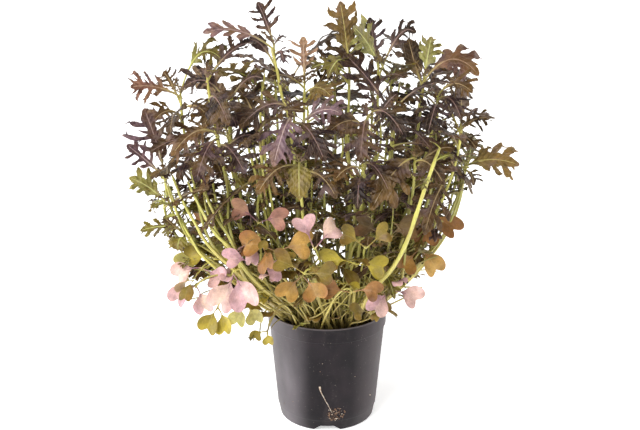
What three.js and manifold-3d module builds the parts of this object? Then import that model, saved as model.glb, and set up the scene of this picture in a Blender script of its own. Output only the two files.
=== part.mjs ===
// Potted red frills mustard: a black nursery pot, its soil, leafy seedlings and small sprouts.
// Millimetres, +Z up, origin at the centre of the pot's underside. The front is at -Y.
import * as THREE from "three";
import { mergeVertices } from "three/addons/utils/BufferGeometryUtils.js";
import Module from "manifold-3d";

const wasm = await Module();
wasm.setup();

// Pot
const POT_HEIGHT = 101;
const RIM_RADIUS = 52.5;
const BAND_HEIGHT = 13.5;
const BAND_STEP = 0.7;
const BAND_FLARE = 0.4;
const TAPER = 0.8;
const WALL = 1.3;
const LIP = 1.6;
const WALL_END_RADIUS = 44.2;
const FOOT_HEIGHT = 10;
const FOOT_TOP_RADIUS = 43.6;
const FOOT_RADIUS = 42.2;
const FOOT_RING = 4.5;
const FLOOR_Z = 5.4;
const BOSS_RADIUS = 11;
const BOSS_FLARE = 2;
const NOTCHES = 4;
const NOTCH_WIDTH = 27;
const NOTCH_TOP_WIDTH = 12.5;
const NOTCH_HEIGHT = 4.8;
const NOTCH_LENGTH = 16;
const DRAIN_HOLES = 5;
const DRAIN_RADIUS = 4;
const DRAIN_CIRCLE = 25;
const DRAIN_SIDES = 6;
const POT_SIDES = 24;
const CUT_OVER = 5;

// Soil
const GAP = 0.35;
const SOIL_Z = 88.5;
const SOIL_DOME = 2.2;
const SOIL_BUMP = 0.7;
const SOIL_EDGE_Z = SOIL_Z - 1.6 * SOIL_DOME;
const SOIL_SHOULDER = 0.55;
const HOLE_DEPTH = 5;
const HOLE_SIDES = 4;
const ROOT_REACH = 39;

// Stems and leaves
const STEM_SIDES = 4;
const STEM_STATIONS = [0, 0.2, 0.44, 0.68];
const SPROUT_STATIONS = [0, 0.26, 0.56];
const SOCKET_HEIGHT = 5.5;
const STATION_GAP = 0.08;
const STEM_RADIUS = [1.6, 1.15];
const SPROUT_RADIUS = [1, 0.75];
const PETIOLE_HALF = 0.85;
const PETIOLE_THICK = 1.4;
const BLADE_THICK = 0.7;
const BLADE_STATIONS = [0, 0.3, 0.58, 0.82];
const CONTROL_SHARE = 0.42;
const GOLDEN_ANGLE = 2.39996;
const CLEARANCE = 0.45;
const PUSH = 4;
const ROLL_SHARE = 0.3;
const FREE_SHARE = 0.16;
const LOOK_SHARE = 0.7;
const HEART_NECK = 0.36;
const HEART_WIDEST = 0.74;
const HEART_END = 0.97;
const HEART_CUP = 0.22;
const SEED_PETIOLE = 0.6;
const ROOT_LEAN = 110;
const HEAD_SHIFT = 8;
const TIP_SHIFT = 6;
const TIP_DEPTH_SHIFT = 60;
const RULED_LENGTH = [54, 74];
const RULED_LIFT = [10, 26];
const RULED_PITCH = [0.9, -0.5];
const RULED_HALF = [0.25, 0.3];
const FRILL_SHARE = 0.74;
const SEED_LENGTH = [1.2, 1.36];
const TRIES = 80;

// How the kinds of leaf differ: the petiole's share of the length, the half widths of the rib and
// the lengths of the lobes as shares of the leaf's half width, how far the lobes sweep forward, and
// how far they curl.
const KINDS = {
  frill: {
    petiole: 0.3, rib: [0.16, 0.24, 0.22, 0.16], lobes: [0.78, 1, 0.8], sweep: 0.14, curl: 0.3,
  },
  broad: {
    petiole: 0.26, rib: [0.16, 0.5, 0.48, 0.34], lobes: [0.66, 1, 0.92], sweep: 0.12, curl: 0.16,
  },
  oval: { petiole: 0.26, rib: [0.14, 0.82, 1, 0.66], lobes: null, sweep: 0, curl: 0 },
};

// Places in the front tables are sighted from an eye before the plant: x and z are where the sight
// line meets the plane through the pot's axis, and y is the depth along it.
const EYE = new THREE.Vector3(-6.2, -900, 483);
const FRONT_LOOK = new THREE.Vector3(0, -0.8, 0.6);

// Seedlings seen one by one from the front. Each has the place of its head and its leaves: the place
// of the tip, how far the leaf arches, its half width and its kind. Then come so many more leaves by
// rule.
const FRONT_SEEDLINGS = [
  { tone: "purple", head: [-44, 0, 332], more: 0, known: [
    [-57, 0, 367, 2, 13, "frill"], [-102, -8, 342, 18, 9, "frill"],
    [-36, -8, 317, 14, 8, "frill"], [-65, 8, 336, 14, 7, "oval"]] },
  { tone: "olive", head: [18, 0, 316], more: 1, known: [
    [10, 0, 368, 2, 14, "broad"], [0, -14, 305, 22, 9, "broad"], [-14, 6, 312, 14, 8, "frill"]] },
  { tone: "purple", head: [42, 4, 316], more: 0, known: [
    [21, -6, 347, 4, 15, "broad"], [34, 16, 355, 4, 12, "frill"], [72, 6, 342, 34, 13, "frill"],
    [68, -24, 308, 16, 16, "frill"]] },
  { tone: "bronze", head: [80, -4, 306], more: 0, known: [
    [85, -8, 339, 2, 11, "broad"], [125, -12, 307, 32, 20, "broad"], [66, 6, 338, 4, 9, "oval"],
    [104, 4, 330, 8, 12, "frill"]] },
  { tone: "bronze", head: [-122, 0, 292], more: 1, known: [
    [-85, -6, 318, 38, 15, "frill"], [-164, -8, 297, 10, 16, "frill"], [-136, 6, 310, 12, 10, "frill"],
    [-100, -22, 272, 12, 16, "frill"], [-146, -16, 268, 14, 15, "frill"]] },
  { tone: "purple", head: [-138, -10, 222], more: 1, known: [
    [-153, -14, 279, 4, 22, "frill"], [-169, -26, 248, 6, 14, "frill"]] },
  { tone: "olive", head: [-136, -10, 200], more: 1, known: [
    [-169, -14, 219, 2, 13, "broad"], [-152, 8, 192, 6, 8, "frill"]] },
  { tone: "olive", head: [-122, -20, 170], more: 0, known: [
    [-162, -20, 171, 4, 10, "frill"], [-143, -6, 186, 4, 9, "frill"], [-130, -36, 152, 8, 9, "oval"]] },
  { tone: "olive", head: [116, -6, 228], more: 1, known: [
    [163, -8, 230, 8, 17, "broad"], [125, -16, 212, 6, 9, "frill"]] },
  { tone: "bronze", head: [108, 4, 258], more: 1, known: [
    [137, 4, 271, 6, 11, "frill"], [126, -12, 244, 8, 11, "frill"]] },
  { tone: "bronze", head: [-19, 8, 300], more: 0, known: [
    [-20, 10, 339, 2, 12, "frill"], [-48, -8, 306, 14, 16, "frill"], [4, -14, 288, 16, 15, "broad"],
    [2, 16, 322, 6, 10, "frill"]] },
  { tone: "purple", head: [92, -24, 290], more: 0, known: [
    [121, -34, 292, 14, 15, "frill"], [113, -50, 268, 18, 15, "frill"], [84, -62, 256, 20, 17, "frill"],
    [62, -40, 284, 18, 15, "frill"]] },
  { tone: "purple", head: [-84, -26, 284], more: 0, known: [
    [-120, -36, 296, 22, 16, "frill"], [-52, -22, 304, 26, 14, "frill"], [-104, -64, 262, 20, 17, "frill"],
    [-76, -54, 262, 18, 13, "oval"]] },
  { tone: "purple", head: [-92, -44, 256], more: 0, known: [
    [-132, -58, 238, 18, 18, "frill"], [-112, -84, 214, 18, 18, "frill"], [-70, -84, 222, 18, 18, "frill"],
    [-58, -58, 254, 16, 14, "frill"]] },
  { tone: "purple", head: [-28, -48, 276], more: 0, known: [
    [-74, -62, 262, 20, 17, "frill"], [-46, -92, 228, 20, 19, "frill"], [-2, -92, 232, 20, 19, "frill"],
    [12, -60, 274, 20, 16, "frill"]] },
  { tone: "purple", head: [34, -44, 272], more: 0, known: [
    [66, -74, 252, 20, 18, "frill"], [28, -90, 232, 20, 18, "frill"], [0, -72, 258, 18, 15, "broad"],
    [58, -30, 292, 16, 15, "frill"]] },
  { tone: "bronze", head: [74, -56, 236], more: 0, known: [
    [38, -88, 190, 14, 19, "broad"], [100, -80, 212, 16, 16, "broad"], [108, -50, 244, 16, 15, "frill"],
    [62, -88, 222, 16, 16, "frill"]] },
  { tone: "bronze", head: [-24, -70, 232], more: 0, known: [
    [-24, -94, 198, 10, 10, "oval"], [-60, -92, 204, 16, 16, "frill"], [8, -94, 200, 16, 15, "frill"]] },
  { tone: "purple", head: [-108, -6, 250], more: 1, known: [
    [-148, -10, 240, 10, 16, "frill"], [-88, -24, 216, 14, 15, "frill"],
    [-128, -18, 214, 10, 13, "frill"]] },
  { tone: "olive", head: [98, -10, 238], more: 1, known: [
    [84, -32, 204, 12, 14, "frill"], [114, 4, 208, 8, 11, "frill"], [92, -18, 264, 6, 14, "frill"]] },
  { tone: "purple", head: [30, -62, 230], more: 1, known: [
    [54, -84, 204, 14, 15, "frill"], [6, -88, 216, 12, 14, "frill"], [26, -92, 190, 14, 14, "broad"]] },
];

// Seedlings between and behind them, by rule: their heads spiral out under a dome, and the tips of
// their leaves stay within the crown, whose half width at each height is listed.
const REAR_SEEDLINGS = 14;
const REAR_LEAVES = 5;
const CROWN_OUTLINE = [
  [100, 84], [150, 112], [200, 138], [250, 148], [300, 130], [330, 96], [352, 50], [370, 0],
];
const CROWN_DEPTH = 0.95;
const RULED_SPACING = 0.06;
const CROWN_X = 122;
const CROWN_Y = 116;
const CROWN_TOP = 306;
const CROWN_FALL = 92;
const TONES = ["purple", "bronze", "purple", "olive"];

// Sprouts that carry only a pair of seed leaves, as seen from the front: where the pair sits, how far
// the stem bows up, how wide one blade is, which way the pair looks and how far its blades spread
// from upright, in degrees.
const FRONT_SPROUTS = [
  { tone: "green", head: [-98, -34, 146], bow: 20, size: 19, face: -20, spread: 92 },
  { tone: "pink", head: [-110, -44, 134], bow: 34, size: 20, face: -26, spread: 118 },
  { tone: "pink", head: [-83, -72, 130], bow: 26, size: 25, face: -10, spread: 156 },
  { tone: "pink", head: [-114, -54, 118], bow: 44, size: 19, face: -24, spread: 142 },
  { tone: "green", head: [-98, -62, 97], bow: 52, size: 19, face: -16, spread: 165 },
  { tone: "green", head: [-73, -62, 101], bow: 38, size: 16, face: -10, spread: 156 },
  { tone: "green", head: [-54, -54, 73], bow: 46, size: 11, face: -20, spread: 152 },
  { tone: "amber", head: [-45, -84, 151], bow: 8, size: 23, face: -4, spread: 80 },
  { tone: "pink", head: [-60, -60, 178], bow: 6, size: 19, face: -6, spread: 74 },
  { tone: "pink", head: [-11, -92, 154], bow: 6, size: 20, face: 6, spread: 34 },
  { tone: "amber", head: [-22, -80, 128], bow: 16, size: 20, face: -8, spread: 146 },
  { tone: "pink", head: [56, -64, 113], bow: 26, size: 21, face: 12, spread: 128 },
  { tone: "amber", head: [80, -40, 153], bow: 14, size: 20, face: 22, spread: 142 },
  { tone: "amber", head: [90, -30, 188], bow: 8, size: 22, face: 16, spread: 148 },
  { tone: "green", head: [-112, -16, 154], bow: 12, size: 20, face: -14, spread: 96 },
  { tone: "green", head: [24, -78, 140], bow: 12, size: 20, face: 4, spread: 96 },
  { tone: "pink", head: [-66, -76, 140], bow: 16, size: 18, face: -8, spread: 96 },
  { tone: "green", head: [50, -66, 164], bow: 8, size: 22, face: 8, spread: 70 },
];
const REAR_SPROUTS = 5;
const TWINLESS_SPROUTS = 11;
const TWIN_SPREAD = [30, 30, 14];
const SPROUT_REACH = [46, 92];
const SPROUT_RISE = [122, 178];
const SPROUT_BOW = [10, 28];
const SPROUT_SIZE = [14, 20];
const SPROUT_SPREAD = [55, 125];
const SPROUT_TONES = ["pink", "amber", "green"];

const COLOURS = {
  purple: 0x5d444a, bronze: 0x7a5a44, olive: 0x7f7a44,
  pink: 0xd0a79b, amber: 0xae8450, green: 0xa39a4c,
};

// A draw from 0 to 1 that depends only on its whole-number keys.
function draw(...keys) {
  let h = 2166136261;
  for (const key of keys) {
    h = Math.imul(h ^ key, 16777619);
    h ^= h >>> 13;
    h = Math.imul(h, 1540483477);
    h ^= h >>> 15;
  }
  return (h >>> 0) / 4294967296;
}

// A draw from -1 to 1.
const swing = (...keys) => 2 * draw(...keys) - 1;

const vec = (x, y, z) => new THREE.Vector3(x, y, z);
const mix = (a, b, t) => a + (b - a) * t;
const sighted = ([x, y, z]) => EYE.clone().lerp(vec(x, 0, z), 1 + y / -EYE.y);
const azimuthOf = (from, to) => Math.atan2(to.y - from.y, to.x - from.x);
const middleOf = (points) =>
  points.reduce((sum, p) => sum.add(p), vec(0, 0, 0)).divideScalar(points.length);

// A direction from its azimuth about Z and its pitch above the level.
const heading = (azimuth, pitch) =>
  vec(Math.cos(azimuth) * Math.cos(pitch), Math.sin(azimuth) * Math.cos(pitch), Math.sin(pitch));

// The centre, side and upper normal at a place on a curve that heads along an azimuth. The curve is
// rolled about itself, little by little at first.
function frameAt({ curve, azimuth, roll }, t) {
  const direction = curve.getTangent(t);
  const level = vec(Math.sin(azimuth), -Math.cos(azimuth), 0);
  const side = level.addScaledVector(direction, -level.dot(direction)).normalize();
  const normal = side.clone().cross(direction);
  const turn = roll * Math.min(1, t / ROLL_SHARE);
  return {
    centre: curve.getPoint(t),
    side: side.clone().multiplyScalar(Math.cos(turn)).addScaledVector(normal, Math.sin(turn)),
    normal: normal.clone().multiplyScalar(Math.cos(turn)).addScaledVector(side, -Math.sin(turn)),
  };
}

// The roll that turns a curve's upper side towards a direction.
function rollTowards({ curve, azimuth }, towards) {
  const { side, normal } = frameAt({ curve, azimuth, roll: 0 }, LOOK_SHARE);
  return Math.atan2(-side.dot(towards), normal.dot(towards));
}

const beside = (frame, across, up) =>
  frame.centre.clone().addScaledVector(frame.side, across).addScaledVector(frame.normal, up);

// The corners of a flat ring: left and right above, then right and left below.
const corners = (frame, half, thick) =>
  [[-half, thick], [half, thick], [half, -thick], [-half, -thick]]
    .map(([across, up]) => beside(frame, across, up / 2));

// A surface that is sewn together until it closes.
class Shell {
  points = [];
  triangles = [];

  add(points) {
    const first = this.points.length;
    this.points.push(...points);
    return points.map((_, i) => first + i);
  }

  quad(a, b, c, d) {
    this.triangles.push([a, b, c], [a, c, d]);
  }

  fan(loop, apex) {
    const [end] = this.add([apex]);
    loop.forEach((p, i) => this.triangles.push([p, loop[(i + 1) % loop.length], end]));
  }

  geometry() {
    return new THREE.BufferGeometry().setFromPoints(this.points).setIndex(this.triangles.flat());
  }
}

// A geometry with no seams as a solid.
function solidFrom({ attributes: { position }, index }) {
  const vertProperties = new Float32Array(position.array);
  const triVerts = new Uint32Array(index.array);
  return new wasm.Manifold(new wasm.Mesh({ numProp: 3, vertProperties, triVerts }));
}

// A three.js geometry as a solid, with its points moved by a rule if there is one.
function solidOf(geometry, move) {
  const bare = geometry.clone();
  bare.deleteAttribute("normal");
  bare.deleteAttribute("uv");
  const merged = mergeVertices(bare, 1e-4);
  if (move) move(merged.attributes.position);
  return solidFrom(merged);
}

// A solid as a three.js mesh with its own material.
function meshOf(name, solid, colour, roughness) {
  const { vertProperties, triVerts } = solid.getMesh();
  const geometry = new THREE.BufferGeometry()
    .setAttribute("position", new THREE.BufferAttribute(vertProperties, 3))
    .setIndex(new THREE.BufferAttribute(triVerts, 1));
  const material = new THREE.MeshStandardMaterial({ color: colour, roughness, metalness: 0 });
  const mesh = new THREE.Mesh(geometry, material);
  mesh.name = name;
  return mesh;
}

// The end of one lobe: it reaches aside and curls up or down.
function lobeEnd(leaf, i, hand, margin) {
  const kind = KINDS[leaf.kind];
  const share = (BLADE_STATIONS[i] + BLADE_STATIONS[i + 1]) / 2 + kind.sweep;
  const which = 2 * i + (hand > 0 ? 1 : 0);
  const reach = kind.lobes[i] * leaf.half * leaf.uneven[which] + margin;
  const frame = frameAt(leaf, mix(kind.petiole, 1, share));
  return beside(frame, hand * reach, kind.curl * leaf.curls[which] * reach);
}

// Sews a lobed leaf to a socket: a slim petiole, a rib with a pointed lobe on either side of each
// stretch, and a pointed end. Its upper and lower faces are split alike.
function sewLeaf(shell, socket, leaf, margin = 0) {
  const kind = KINDS[leaf.kind];
  const ring = (t, half, thick) =>
    shell.add(corners(frameAt(leaf, t), half + margin, thick + 2 * margin));
  const ribHalf = (i) => Math.max(kind.rib[i] * leaf.half, PETIOLE_HALF);
  const rings = [socket, ring(kind.petiole / 2, PETIOLE_HALF, PETIOLE_THICK)];
  BLADE_STATIONS.forEach((share, i) => {
    rings.push(ring(mix(kind.petiole, 1, share), ribHalf(i), BLADE_THICK));
  });
  rings.slice(1).forEach((b, i) => {
    const a = rings[i];
    shell.quad(a[0], a[1], b[1], b[0]);
    shell.quad(a[2], a[3], b[3], b[2]);
    if (i > 1 && kind.lobes) {
      shell.fan([a[1], a[2], b[2], b[1]], lobeEnd(leaf, i - 2, 1, margin));
      shell.fan([a[0], b[0], b[3], a[3]], lobeEnd(leaf, i - 2, -1, margin));
    } else {
      shell.quad(a[1], a[2], b[2], b[1]);
      shell.quad(a[0], b[0], b[3], a[3]);
    }
  });
  shell.fan(rings.at(-1), leaf.curve.v2);
}

// Sews a seed leaf to a socket: a cupped heart on a petiole, with its notch at the far end.
function sewHeart(shell, socket, leaf, margin = 0) {
  const w = leaf.half;
  const neck = corners(frameAt(leaf, HEART_NECK), SEED_PETIOLE + margin, BLADE_THICK + 2 * margin);
  const row = (t, across) => {
    const frame = frameAt(leaf, t);
    return across.map((share) => {
      const [u, cup] = [share * w + Math.sign(share) * margin, HEART_CUP * share * share * w];
      const off = BLADE_THICK / 2 + margin;
      return shell.add([beside(frame, u, cup + off), beside(frame, u, cup - off)]);
    });
  };
  const [a, b, c, d] = shell.add(neck);
  shell.quad(socket[0], socket[1], b, a);
  shell.quad(socket[2], socket[3], d, c);
  shell.quad(socket[1], socket[2], c, b);
  shell.quad(socket[0], a, d, socket[3]);
  const near = [[a, d], [b, c]];
  const wide = row(HEART_WIDEST, [-0.96, 0, 0.96]);
  const far = row(HEART_END, [-0.84, -0.3, 0.3, 0.84]);
  const face = (p, q, r) => shell.triangles.push([p[0], q[0], r[0]], [p[1], r[1], q[1]]);
  face(near[0], wide[1], wide[0]);
  face(near[0], near[1], wide[1]);
  face(near[1], wide[2], wide[1]);
  face(wide[0], wide[1], far[1]);
  face(wide[0], far[1], far[0]);
  face(wide[1], wide[2], far[3]);
  face(wide[1], far[3], far[2]);
  const edge = [near[1], wide[2], far[3], far[2], wide[1], far[1], far[0], wide[0], near[0]];
  edge.slice(1).forEach((q, i) => shell.quad(edge[i][0], edge[i][1], q[1], q[0]));
}

// A leaf on its own, as a solid.
function leafSolid(sew, corner, leaf, margin) {
  const shell = new Shell();
  const socket = shell.add(corner);
  shell.quad(socket[0], socket[3], socket[2], socket[1]);
  sew(shell, socket, leaf, margin);
  return solidFrom(shell.geometry());
}

const soilHeight = (radius) => SOIL_Z - SOIL_DOME * (radius / ROOT_REACH) ** 2;

// Where a stem comes clear of the soil: on the side that it leans to, and elsewhere on each further
// try. A twin shares its fellow's root.
function rootPlace({ id, head, twin }, attempt) {
  if (twin) return twin.stem.v0;
  const azimuth = Math.atan2(head.y, head.x) + (0.5 + 0.04 * attempt) * swing(id, 1, attempt);
  const lean = Math.min(1, Math.hypot(head.x, head.y) / ROOT_LEAN);
  const radius = ROOT_REACH * Math.sqrt(mix(mix(0.04, 0.3, lean), 1, draw(id, 2, attempt)));
  const z = soilHeight(radius) + SOIL_BUMP;
  return vec(radius * Math.cos(azimuth), radius * Math.sin(azimuth), z);
}

// Where a stem's head is: on its mark at first, and about it on further tries.
function headPlace({ id, head, twin }, attempt) {
  const reach = twin ? TWIN_SPREAD : [0, 0, 0].fill(HEAD_SHIFT * (attempt / TRIES));
  return head.clone().add(vec(...reach.map((most, k) => most * swing(id, 6 + k, attempt))));
}

// A seedling's stem leaves the soil leaning out and turns up to its head.
function seedlingStem(id, root, head, attempt) {
  const out = vec(head.x - root.x, head.y - root.y, 0);
  const first = root.clone().addScaledVector(out, mix(0.4, 0.72, draw(id, 3, attempt)));
  first.z = mix(root.z, head.z, mix(0.24, 0.34, draw(id, 4, attempt)));
  const second = head.clone().addScaledVector(out, -mix(-0.04, 0.12, draw(id, 5, attempt)));
  second.z = mix(root.z, head.z, 0.62);
  return new THREE.CubicBezierCurve3(root, first, second, head);
}

// A sprout's stem bows up over the rim and out to its pair of seed leaves.
function sproutStem(id, root, head, attempt, bow) {
  const out = vec(head.x - root.x, head.y - root.y, 0);
  const first = root.clone().addScaledVector(out, mix(0.16, 0.3, draw(id, 3, attempt)));
  first.z += 0.34 * Math.max(head.z - root.z, 0) + bow * mix(0.7, 1, draw(id, 4, attempt));
  const second = root.clone().addScaledVector(out, 0.88);
  second.z = head.z + bow * mix(0.5, 0.7, draw(id, 5, attempt));
  return new THREE.CubicBezierCurve3(root, first, second, head);
}

// The shares of a stem's way where its rings stand, with a short stretch for the socket of each side
// leaf.
function stemStations(shares, tops, height) {
  const sockets = [...new Set(tops.flatMap((top) => [top, top - height]))].sort((a, b) => a - b);
  const free = shares.filter((t) => t < Math.min(...sockets) - STATION_GAP);
  return [...free, ...sockets, 1].filter((t, i, all) => i === 0 || t - all[i - 1] > 1e-6);
}

// The corners of a stem's rings, starting with the straight end that stands in the soil.
function stemRings(curve, stations, radii, margin = 0) {
  const line = { curve, azimuth: azimuthOf(curve.v0, curve.v3), roll: 0 };
  const rings = stations.map((t) => {
    const frame = frameAt(line, t);
    const radius = mix(radii[0], radii[1], t) + margin;
    return [[1, 0], [0, 1], [-1, 0], [0, -1]].map(([x, y]) => beside(frame, radius * x, radius * y));
  });
  const foot = rings[0].map((p) => vec(p.x, p.y, curve.v0.z - HOLE_DEPTH));
  return [foot, ...rings];
}

// Sews a stem, leaving its sockets open. A socket is a side of a stretch between two rings.
function sewStem(shell, rings, sockets) {
  const loops = rings.map((ring) => shell.add(ring));
  shell.quad(...loops[0]);
  for (let i = 0; i + 1 < loops.length; i++)
    for (let k = 0; k < STEM_SIDES; k++) {
      const [low, high, next] = [loops[i], loops[i + 1], (k + 1) % STEM_SIDES];
      if (!sockets.some((socket) => socket.stretch === i && socket.side === k))
        shell.quad(low[k], high[k], high[next], low[next]);
    }
  if (!sockets.some((socket) => socket.stretch === loops.length - 1))
    shell.quad(...loops.at(-1).toReversed());
  return loops;
}

// The corners of a socket, from the corners or the numbers of the rings' points.
function socketCorners(rings, { stretch, side }) {
  if (stretch === rings.length - 1)
    return [0, 3, 2, 1].map((k) => rings[stretch][(k + side) % STEM_SIDES]);
  const [low, high, next] = [rings[stretch], rings[stretch + 1], (side + 1) % STEM_SIDES];
  return [high[side], high[next], low[next], low[side]];
}

// The free side of a stretch that looks most towards a place.
function bestSocket(row, stretch, place) {
  const middle = middleOf([...row.rings[stretch], ...row.rings[stretch + 1]]);
  const way = place.clone().sub(middle).normalize();
  const taken = row.leaves.map(({ socket }) => socket).filter((socket) => socket.stretch === stretch);
  const sides = [0, 1, 2, 3].filter((side) => taken.every((socket) => socket.side !== side));
  const look = (side) =>
    middleOf(socketCorners(row.rings, { stretch, side })).sub(middle).normalize().dot(way);
  return { stretch, side: sides.reduce((best, side) => (look(side) > look(best) ? side : best)) };
}

// The turn of a stem's end that twists the least on its way to a leaf's petiole.
function endSocket(row, line) {
  const stretch = row.rings.length - 1;
  const target = corners(frameAt(line, HEART_NECK / 2), 1, 1);
  const twist = (side) => socketCorners(row.rings, { stretch, side })
    .reduce((sum, p, i) => sum + p.distanceTo(target[i]), 0);
  return { stretch, side: [0, 1, 2, 3].reduce((best, side) => (twist(side) < twist(best) ? side : best)) };
}

// A leaf's curve from its socket to its tip: it is pushed off the stem and arches up on the way.
function leafCurve(row, stretch, tip, lift) {
  const end = stretch === row.rings.length - 1;
  const socket = end ? { stretch, side: 0 } : bestSocket(row, stretch, tip);
  const root = middleOf(socketCorners(row.rings, socket));
  const near = end ? row.rings[stretch - 1] : [...row.rings[stretch], ...row.rings[stretch + 1]];
  const axis = middleOf(near);
  const outward = root.clone().sub(axis).normalize();
  const control = root.clone().lerp(tip, CONTROL_SHARE).addScaledVector(outward, PUSH);
  control.z += lift;
  const curve = new THREE.QuadraticBezierCurve3(root, control, tip);
  const line = { curve, azimuth: azimuthOf(root, tip) };
  return { ...line, socket: end ? endSocket(row, { ...line, roll: 0 }) : socket };
}

// True if a place is within the crown.
function withinCrown({ x, y, z }) {
  const next = CROWN_OUTLINE.findIndex(([height]) => height > z);
  if (next < 1) return false;
  const [[low, near], [high, far]] = [CROWN_OUTLINE[next - 1], CROWN_OUTLINE[next]];
  return Math.hypot(x, y / CROWN_DEPTH) < mix(near, far, (z - low) / (high - low));
}

// The uneven lengths and curls of a leaf's six lobes.
const lobeShapes = (id, key) => ({
  uneven: [0, 1, 2, 3, 4, 5].map((k) => mix(0.84, 1.14, draw(id, key, 20 + k))),
  curls: [0, 1, 2, 3, 4, 5].map((k) => swing(id, key, 30 + k)),
});

// A seedling's leaf with a known tip.
function knownLeaf(row, index, stretch, attempt) {
  const [x, y, z, lift, half, kind] = row.known[index];
  const loose = attempt / TRIES;
  const shake = (k) => swing(row.id, 10 + index, k, attempt);
  const aside = TIP_SHIFT * loose;
  const deep = TIP_DEPTH_SHIFT * loose;
  const tip = sighted([x + aside * shake(1), y + deep * shake(2), z + aside * shake(3)]);
  const line = leafCurve(row, stretch, tip, lift * mix(1, 0.6, loose));
  const roll = 0.8 * rollTowards(line, FRONT_LOOK) + 0.3 * loose * shake(4);
  return { ...line, ...lobeShapes(row.id, 10 + index), roll, kind, half: half * mix(1, 0.8, loose) };
}

// A seedling's leaf by rule: the upper ones stand up, the lower ones droop.
function ruledLeaf(row, index, stretch, attempt) {
  const { id } = row;
  const key = 10 + index;
  const loose = attempt / TRIES;
  const shake = (k) => swing(id, key, k, attempt);
  const age = (index - row.known.length + 0.5) / row.more;
  const azimuth = id + index * GOLDEN_ANGLE + (0.3 + 2.4 * loose) * shake(1);
  const length = mix(...RULED_LENGTH, draw(id, key, 6)) * mix(1, 0.7, loose);
  const pitch = mix(...RULED_PITCH, age) + 0.35 * shake(2);
  const tip = middleOf(row.rings[stretch]).addScaledVector(heading(azimuth, pitch), length);
  const lift = mix(...RULED_LIFT, draw(id, key, 8)) * Math.cos(pitch);
  const line = leafCurve(row, stretch, tip, lift);
  const outward = vec(row.head.x, row.head.y, 60).normalize();
  return {
    ...line, ...lobeShapes(id, key), kind: draw(id, key, 7) < FRILL_SHARE ? "frill" : "broad",
    roll: 0.5 * rollTowards(line, outward) + 0.3 * shake(3),
    half: mix(...RULED_HALF, draw(id, key, 9)) * length,
  };
}

// One of a sprout's two seed leaves: the pair looks one way, a little up, and its blades spread to
// either hand.
function seedLeaf(row, index, stretch, attempt) {
  const { id, face, spread, size } = row;
  const loose = attempt / TRIES;
  const shake = (k) => swing(id, 40 + index, k, attempt);
  const look = heading(THREE.MathUtils.degToRad(face - 90), 0.45);
  const right = vec(-look.y, look.x, 0).normalize();
  const up = look.clone().cross(right);
  const apart = THREE.MathUtils.degToRad((index ? 1 : -1) * spread + 14 * swing(id, 45));
  const angle = apart + 0.8 * loose * shake(1);
  const length = size * mix(...SEED_LENGTH, draw(id, 46 + index));
  const tip = middleOf(row.rings[stretch])
    .addScaledVector(right, length * Math.sin(angle))
    .addScaledVector(up, length * Math.cos(angle))
    .addScaledVector(look, length * mix(0.1, 0.35, draw(id, 48 + index)));
  const line = leafCurve(row, stretch, tip, 0.15 * length);
  const roll = rollTowards(line, look) + 0.5 * (0.3 + loose) * shake(2);
  return { ...line, half: size / 2, roll };
}

// The tops of the sockets on a seedling's stem, as shares of its way: close together for the leaves
// with a known tip, and spread down the stem for the others.
const seedlingTops = ({ known, more }, height) =>
  Array.from({ length: known.length + more - 1 }, (_, i) =>
    1 - i * (i < known.length ? height : Math.max(height, RULED_SPACING)));

// What a seedling and a sprout differ in.
const SEEDLING = {
  radii: STEM_RADIUS, stations: STEM_STATIONS, stem: seedlingStem, sew: sewLeaf,
  leaf: (row, index, stretch, attempt) =>
    (index < row.known.length ? knownLeaf : ruledLeaf)(row, index, stretch, attempt),
  count: ({ known, more }) => known.length + more,
  isRuled: ({ known }, index) => index >= known.length,
  tops: seedlingTops,
  place: (index) => index,
};
const SPROUT = {
  radii: SPROUT_RADIUS, stations: SPROUT_STATIONS, stem: sproutStem, sew: sewHeart,
  leaf: seedLeaf,
  count: () => 2,
  isRuled: () => false,
  tops: () => [1],
  place: () => 1,
};

// The rows of the rear seedlings: a spiral whose heads lie under the dome.
function rearSeedlings() {
  return Array.from({ length: REAR_SEEDLINGS }, (_, i) => {
    const turn = mix(-0.3, 1.3, (i + 0.5) / REAR_SEEDLINGS) * Math.PI;
    const far = Math.sqrt(mix(0.08, 1, (i * 0.618 + 0.3) % 1));
    const fall = CROWN_FALL * far * far * draw(i, 52) + 12 * swing(i, 53);
    const [x, y] = [CROWN_X * far * Math.cos(turn), CROWN_Y * far * Math.sin(turn) + 8];
    const tone = TONES[i % TONES.length];
    return { tone, head: vec(x, y, CROWN_TOP - fall), known: [], more: REAR_LEAVES };
  });
}

// A sprout by rule, at a bearing about the pot's axis.
function ruledSprout(id, bearing) {
  const radius = mix(...SPROUT_REACH, draw(id, 54));
  const rise = mix(...SPROUT_RISE, draw(id, 55));
  return {
    tone: SPROUT_TONES[id % SPROUT_TONES.length],
    head: vec(radius * Math.cos(bearing), radius * Math.sin(bearing), rise),
    bow: mix(...SPROUT_BOW, draw(id, 56)),
    size: mix(...SPROUT_SIZE, draw(id, 57)),
    face: THREE.MathUtils.radToDeg(bearing) + 90,
    spread: mix(...SPROUT_SPREAD, draw(id, 58)),
  };
}

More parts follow.
